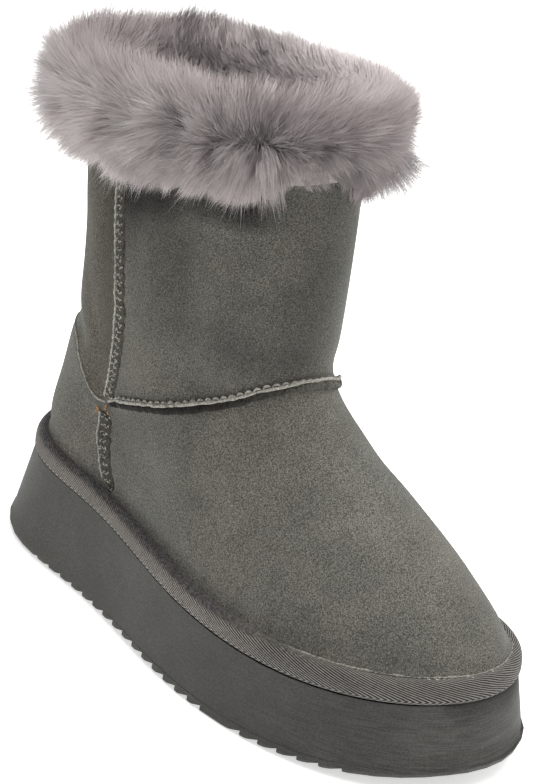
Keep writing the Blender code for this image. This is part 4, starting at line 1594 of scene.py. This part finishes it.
class BootFur(bpy.types.PropertyGroup):
    """The fur cuff"""

    hair_width: length_prop("Hair width", "Width of a drawn hair, several real ones", 0.00017)
    tuft_hairs: number_prop("Tuft", "Hairs in a tuft", 15)
    tuft_pull: number_prop("Tuft pull", "How far a tuft's tips close up", 0.26)
    lock_hairs: number_prop("Lock", "Hairs in a lock", 340)
    lock_stray: number_prop("Lock stray", "How far locks lean apart", 0.20)
    lock_pull: number_prop("Lock pull", "How far a lock's tips close up", 0.26)
    tuft_stray: number_prop("Tuft stray", "How far tufts lean apart", 0.13)
    hair_stray: number_prop("Hair stray", "How far hairs lean apart", 0.15)
    droop: number_prop("Droop", "How far a level hair hangs", 0.30)
    guard_share: number_prop("Guard hair", "Share of longer, thicker hairs", 0.22)
    parting: number_prop("Parting", "Heading of the parting, in degrees", 138)
    bare: number_prop("Bare", "How thin the fur is at its thin spot", 0.85)
    bare_trim: number_prop("Bare trim", "How much shorter its hairs are", 0.58)
    bare_heading: number_prop("Bare heading", "Heading of the thin spot", 167)
    bare_half_width: number_prop("Bare half width", "Its half width in degrees", 25)
    hem_rise: number_prop("Hem rise", "How far the hem lifts at the thin spot", 0.14)
    under_share: number_prop("Undercoat", "Undercoat's share of the cuff", 0.72)
    valley: number_prop("Valley", "How deep the parting's valley is", 0.14)
    shade: colour_prop("Shade", "Deep in the coat", "#938B8A")
    root: colour_prop("Root", "Root of a hair", "#ABA2A1")
    middle: colour_prop("Middle", "Middle of a hair", "#BDB4B3")
    tip: colour_prop("Tip", "Tip of a hair", "#C4BCBA")


class BootStage(bpy.types.PropertyGroup):
    """The camera, the floor and the light"""

    heading: number_prop("Heading", "Camera's turn about the boot", -52.3)
    elevation: number_prop("Elevation", "Camera's height as an angle", 31.0)
    roll: number_prop("Roll", "Camera's roll", 10.0)
    distance: length_prop("Distance", "Camera's distance", 1.3074)
    lens: number_prop("Lens", "Focal length in millimetres", 137.63)
    shift_x: number_prop("Shift across", "Lens shift", -0.0173)
    shift_y: number_prop("Shift up", "Lens shift", 0.0689)
    target: FloatVectorProperty(
        name="Target",
        description="Point the camera turns about",
        default=(0.0021, -0.0009, 0.100),
        unit="LENGTH",
    )
    surround: number_prop("Surround", "Strength of the white surround", 0.36)
    glow: number_prop("Glow", "Strength of the floor's own light", 0.56)
    floor: colour_prop("Floor", "Studio floor", "#F4F4F2")


GROUPS = (BootSuede, BootSeams, BootTape, BootSole, BootFur, BootStage)
OPERATORS = (BOOT_OT_upper, BOOT_OT_sole, BOOT_OT_seams, BOOT_OT_tape, BOOT_OT_fur, BOOT_OT_stage)
SETTINGS = ("boot_suede", "boot_seams", "boot_tape", "boot_sole", "boot_fur", "boot_stage")


class BOOT_PT_pieces(bpy.types.Panel):
    """Lists the boot's pieces"""

    bl_idname = "BOOT_PT_pieces"
    bl_label = "Ankle boot"
    bl_space_type = "VIEW_3D"
    bl_region_type = "UI"
    bl_category = "Boot"

    def draw(self, context):
        for operator in OPERATORS:
            self.layout.operator(operator.bl_idname)
        for setting in SETTINGS:
            group = getattr(context.scene, setting)
            column = self.layout.column(align=True)
            for prop in group.__annotations__:
                column.prop(group, prop)


def register():
    """Adds the settings, the operators and the panel."""
    for made in (*GROUPS, *OPERATORS, BOOT_PT_pieces):
        bpy.utils.register_class(made)
    for setting, group in zip(SETTINGS, GROUPS):
        setattr(bpy.types.Scene, setting, PointerProperty(type=group))


def unregister():
    """Takes them away again."""
    for setting in SETTINGS:
        delattr(bpy.types.Scene, setting)
    for made in reversed((*GROUPS, *OPERATORS, BOOT_PT_pieces)):
        bpy.utils.unregister_class(made)


def main():
    """Builds every piece and the stage."""
    register()
    bpy.ops.boot.upper()
    bpy.ops.boot.sole()
    bpy.ops.boot.seams()
    bpy.ops.boot.tape()
    bpy.ops.boot.fur()
    bpy.ops.boot.stage()


if __name__ == "__main__":
    main()
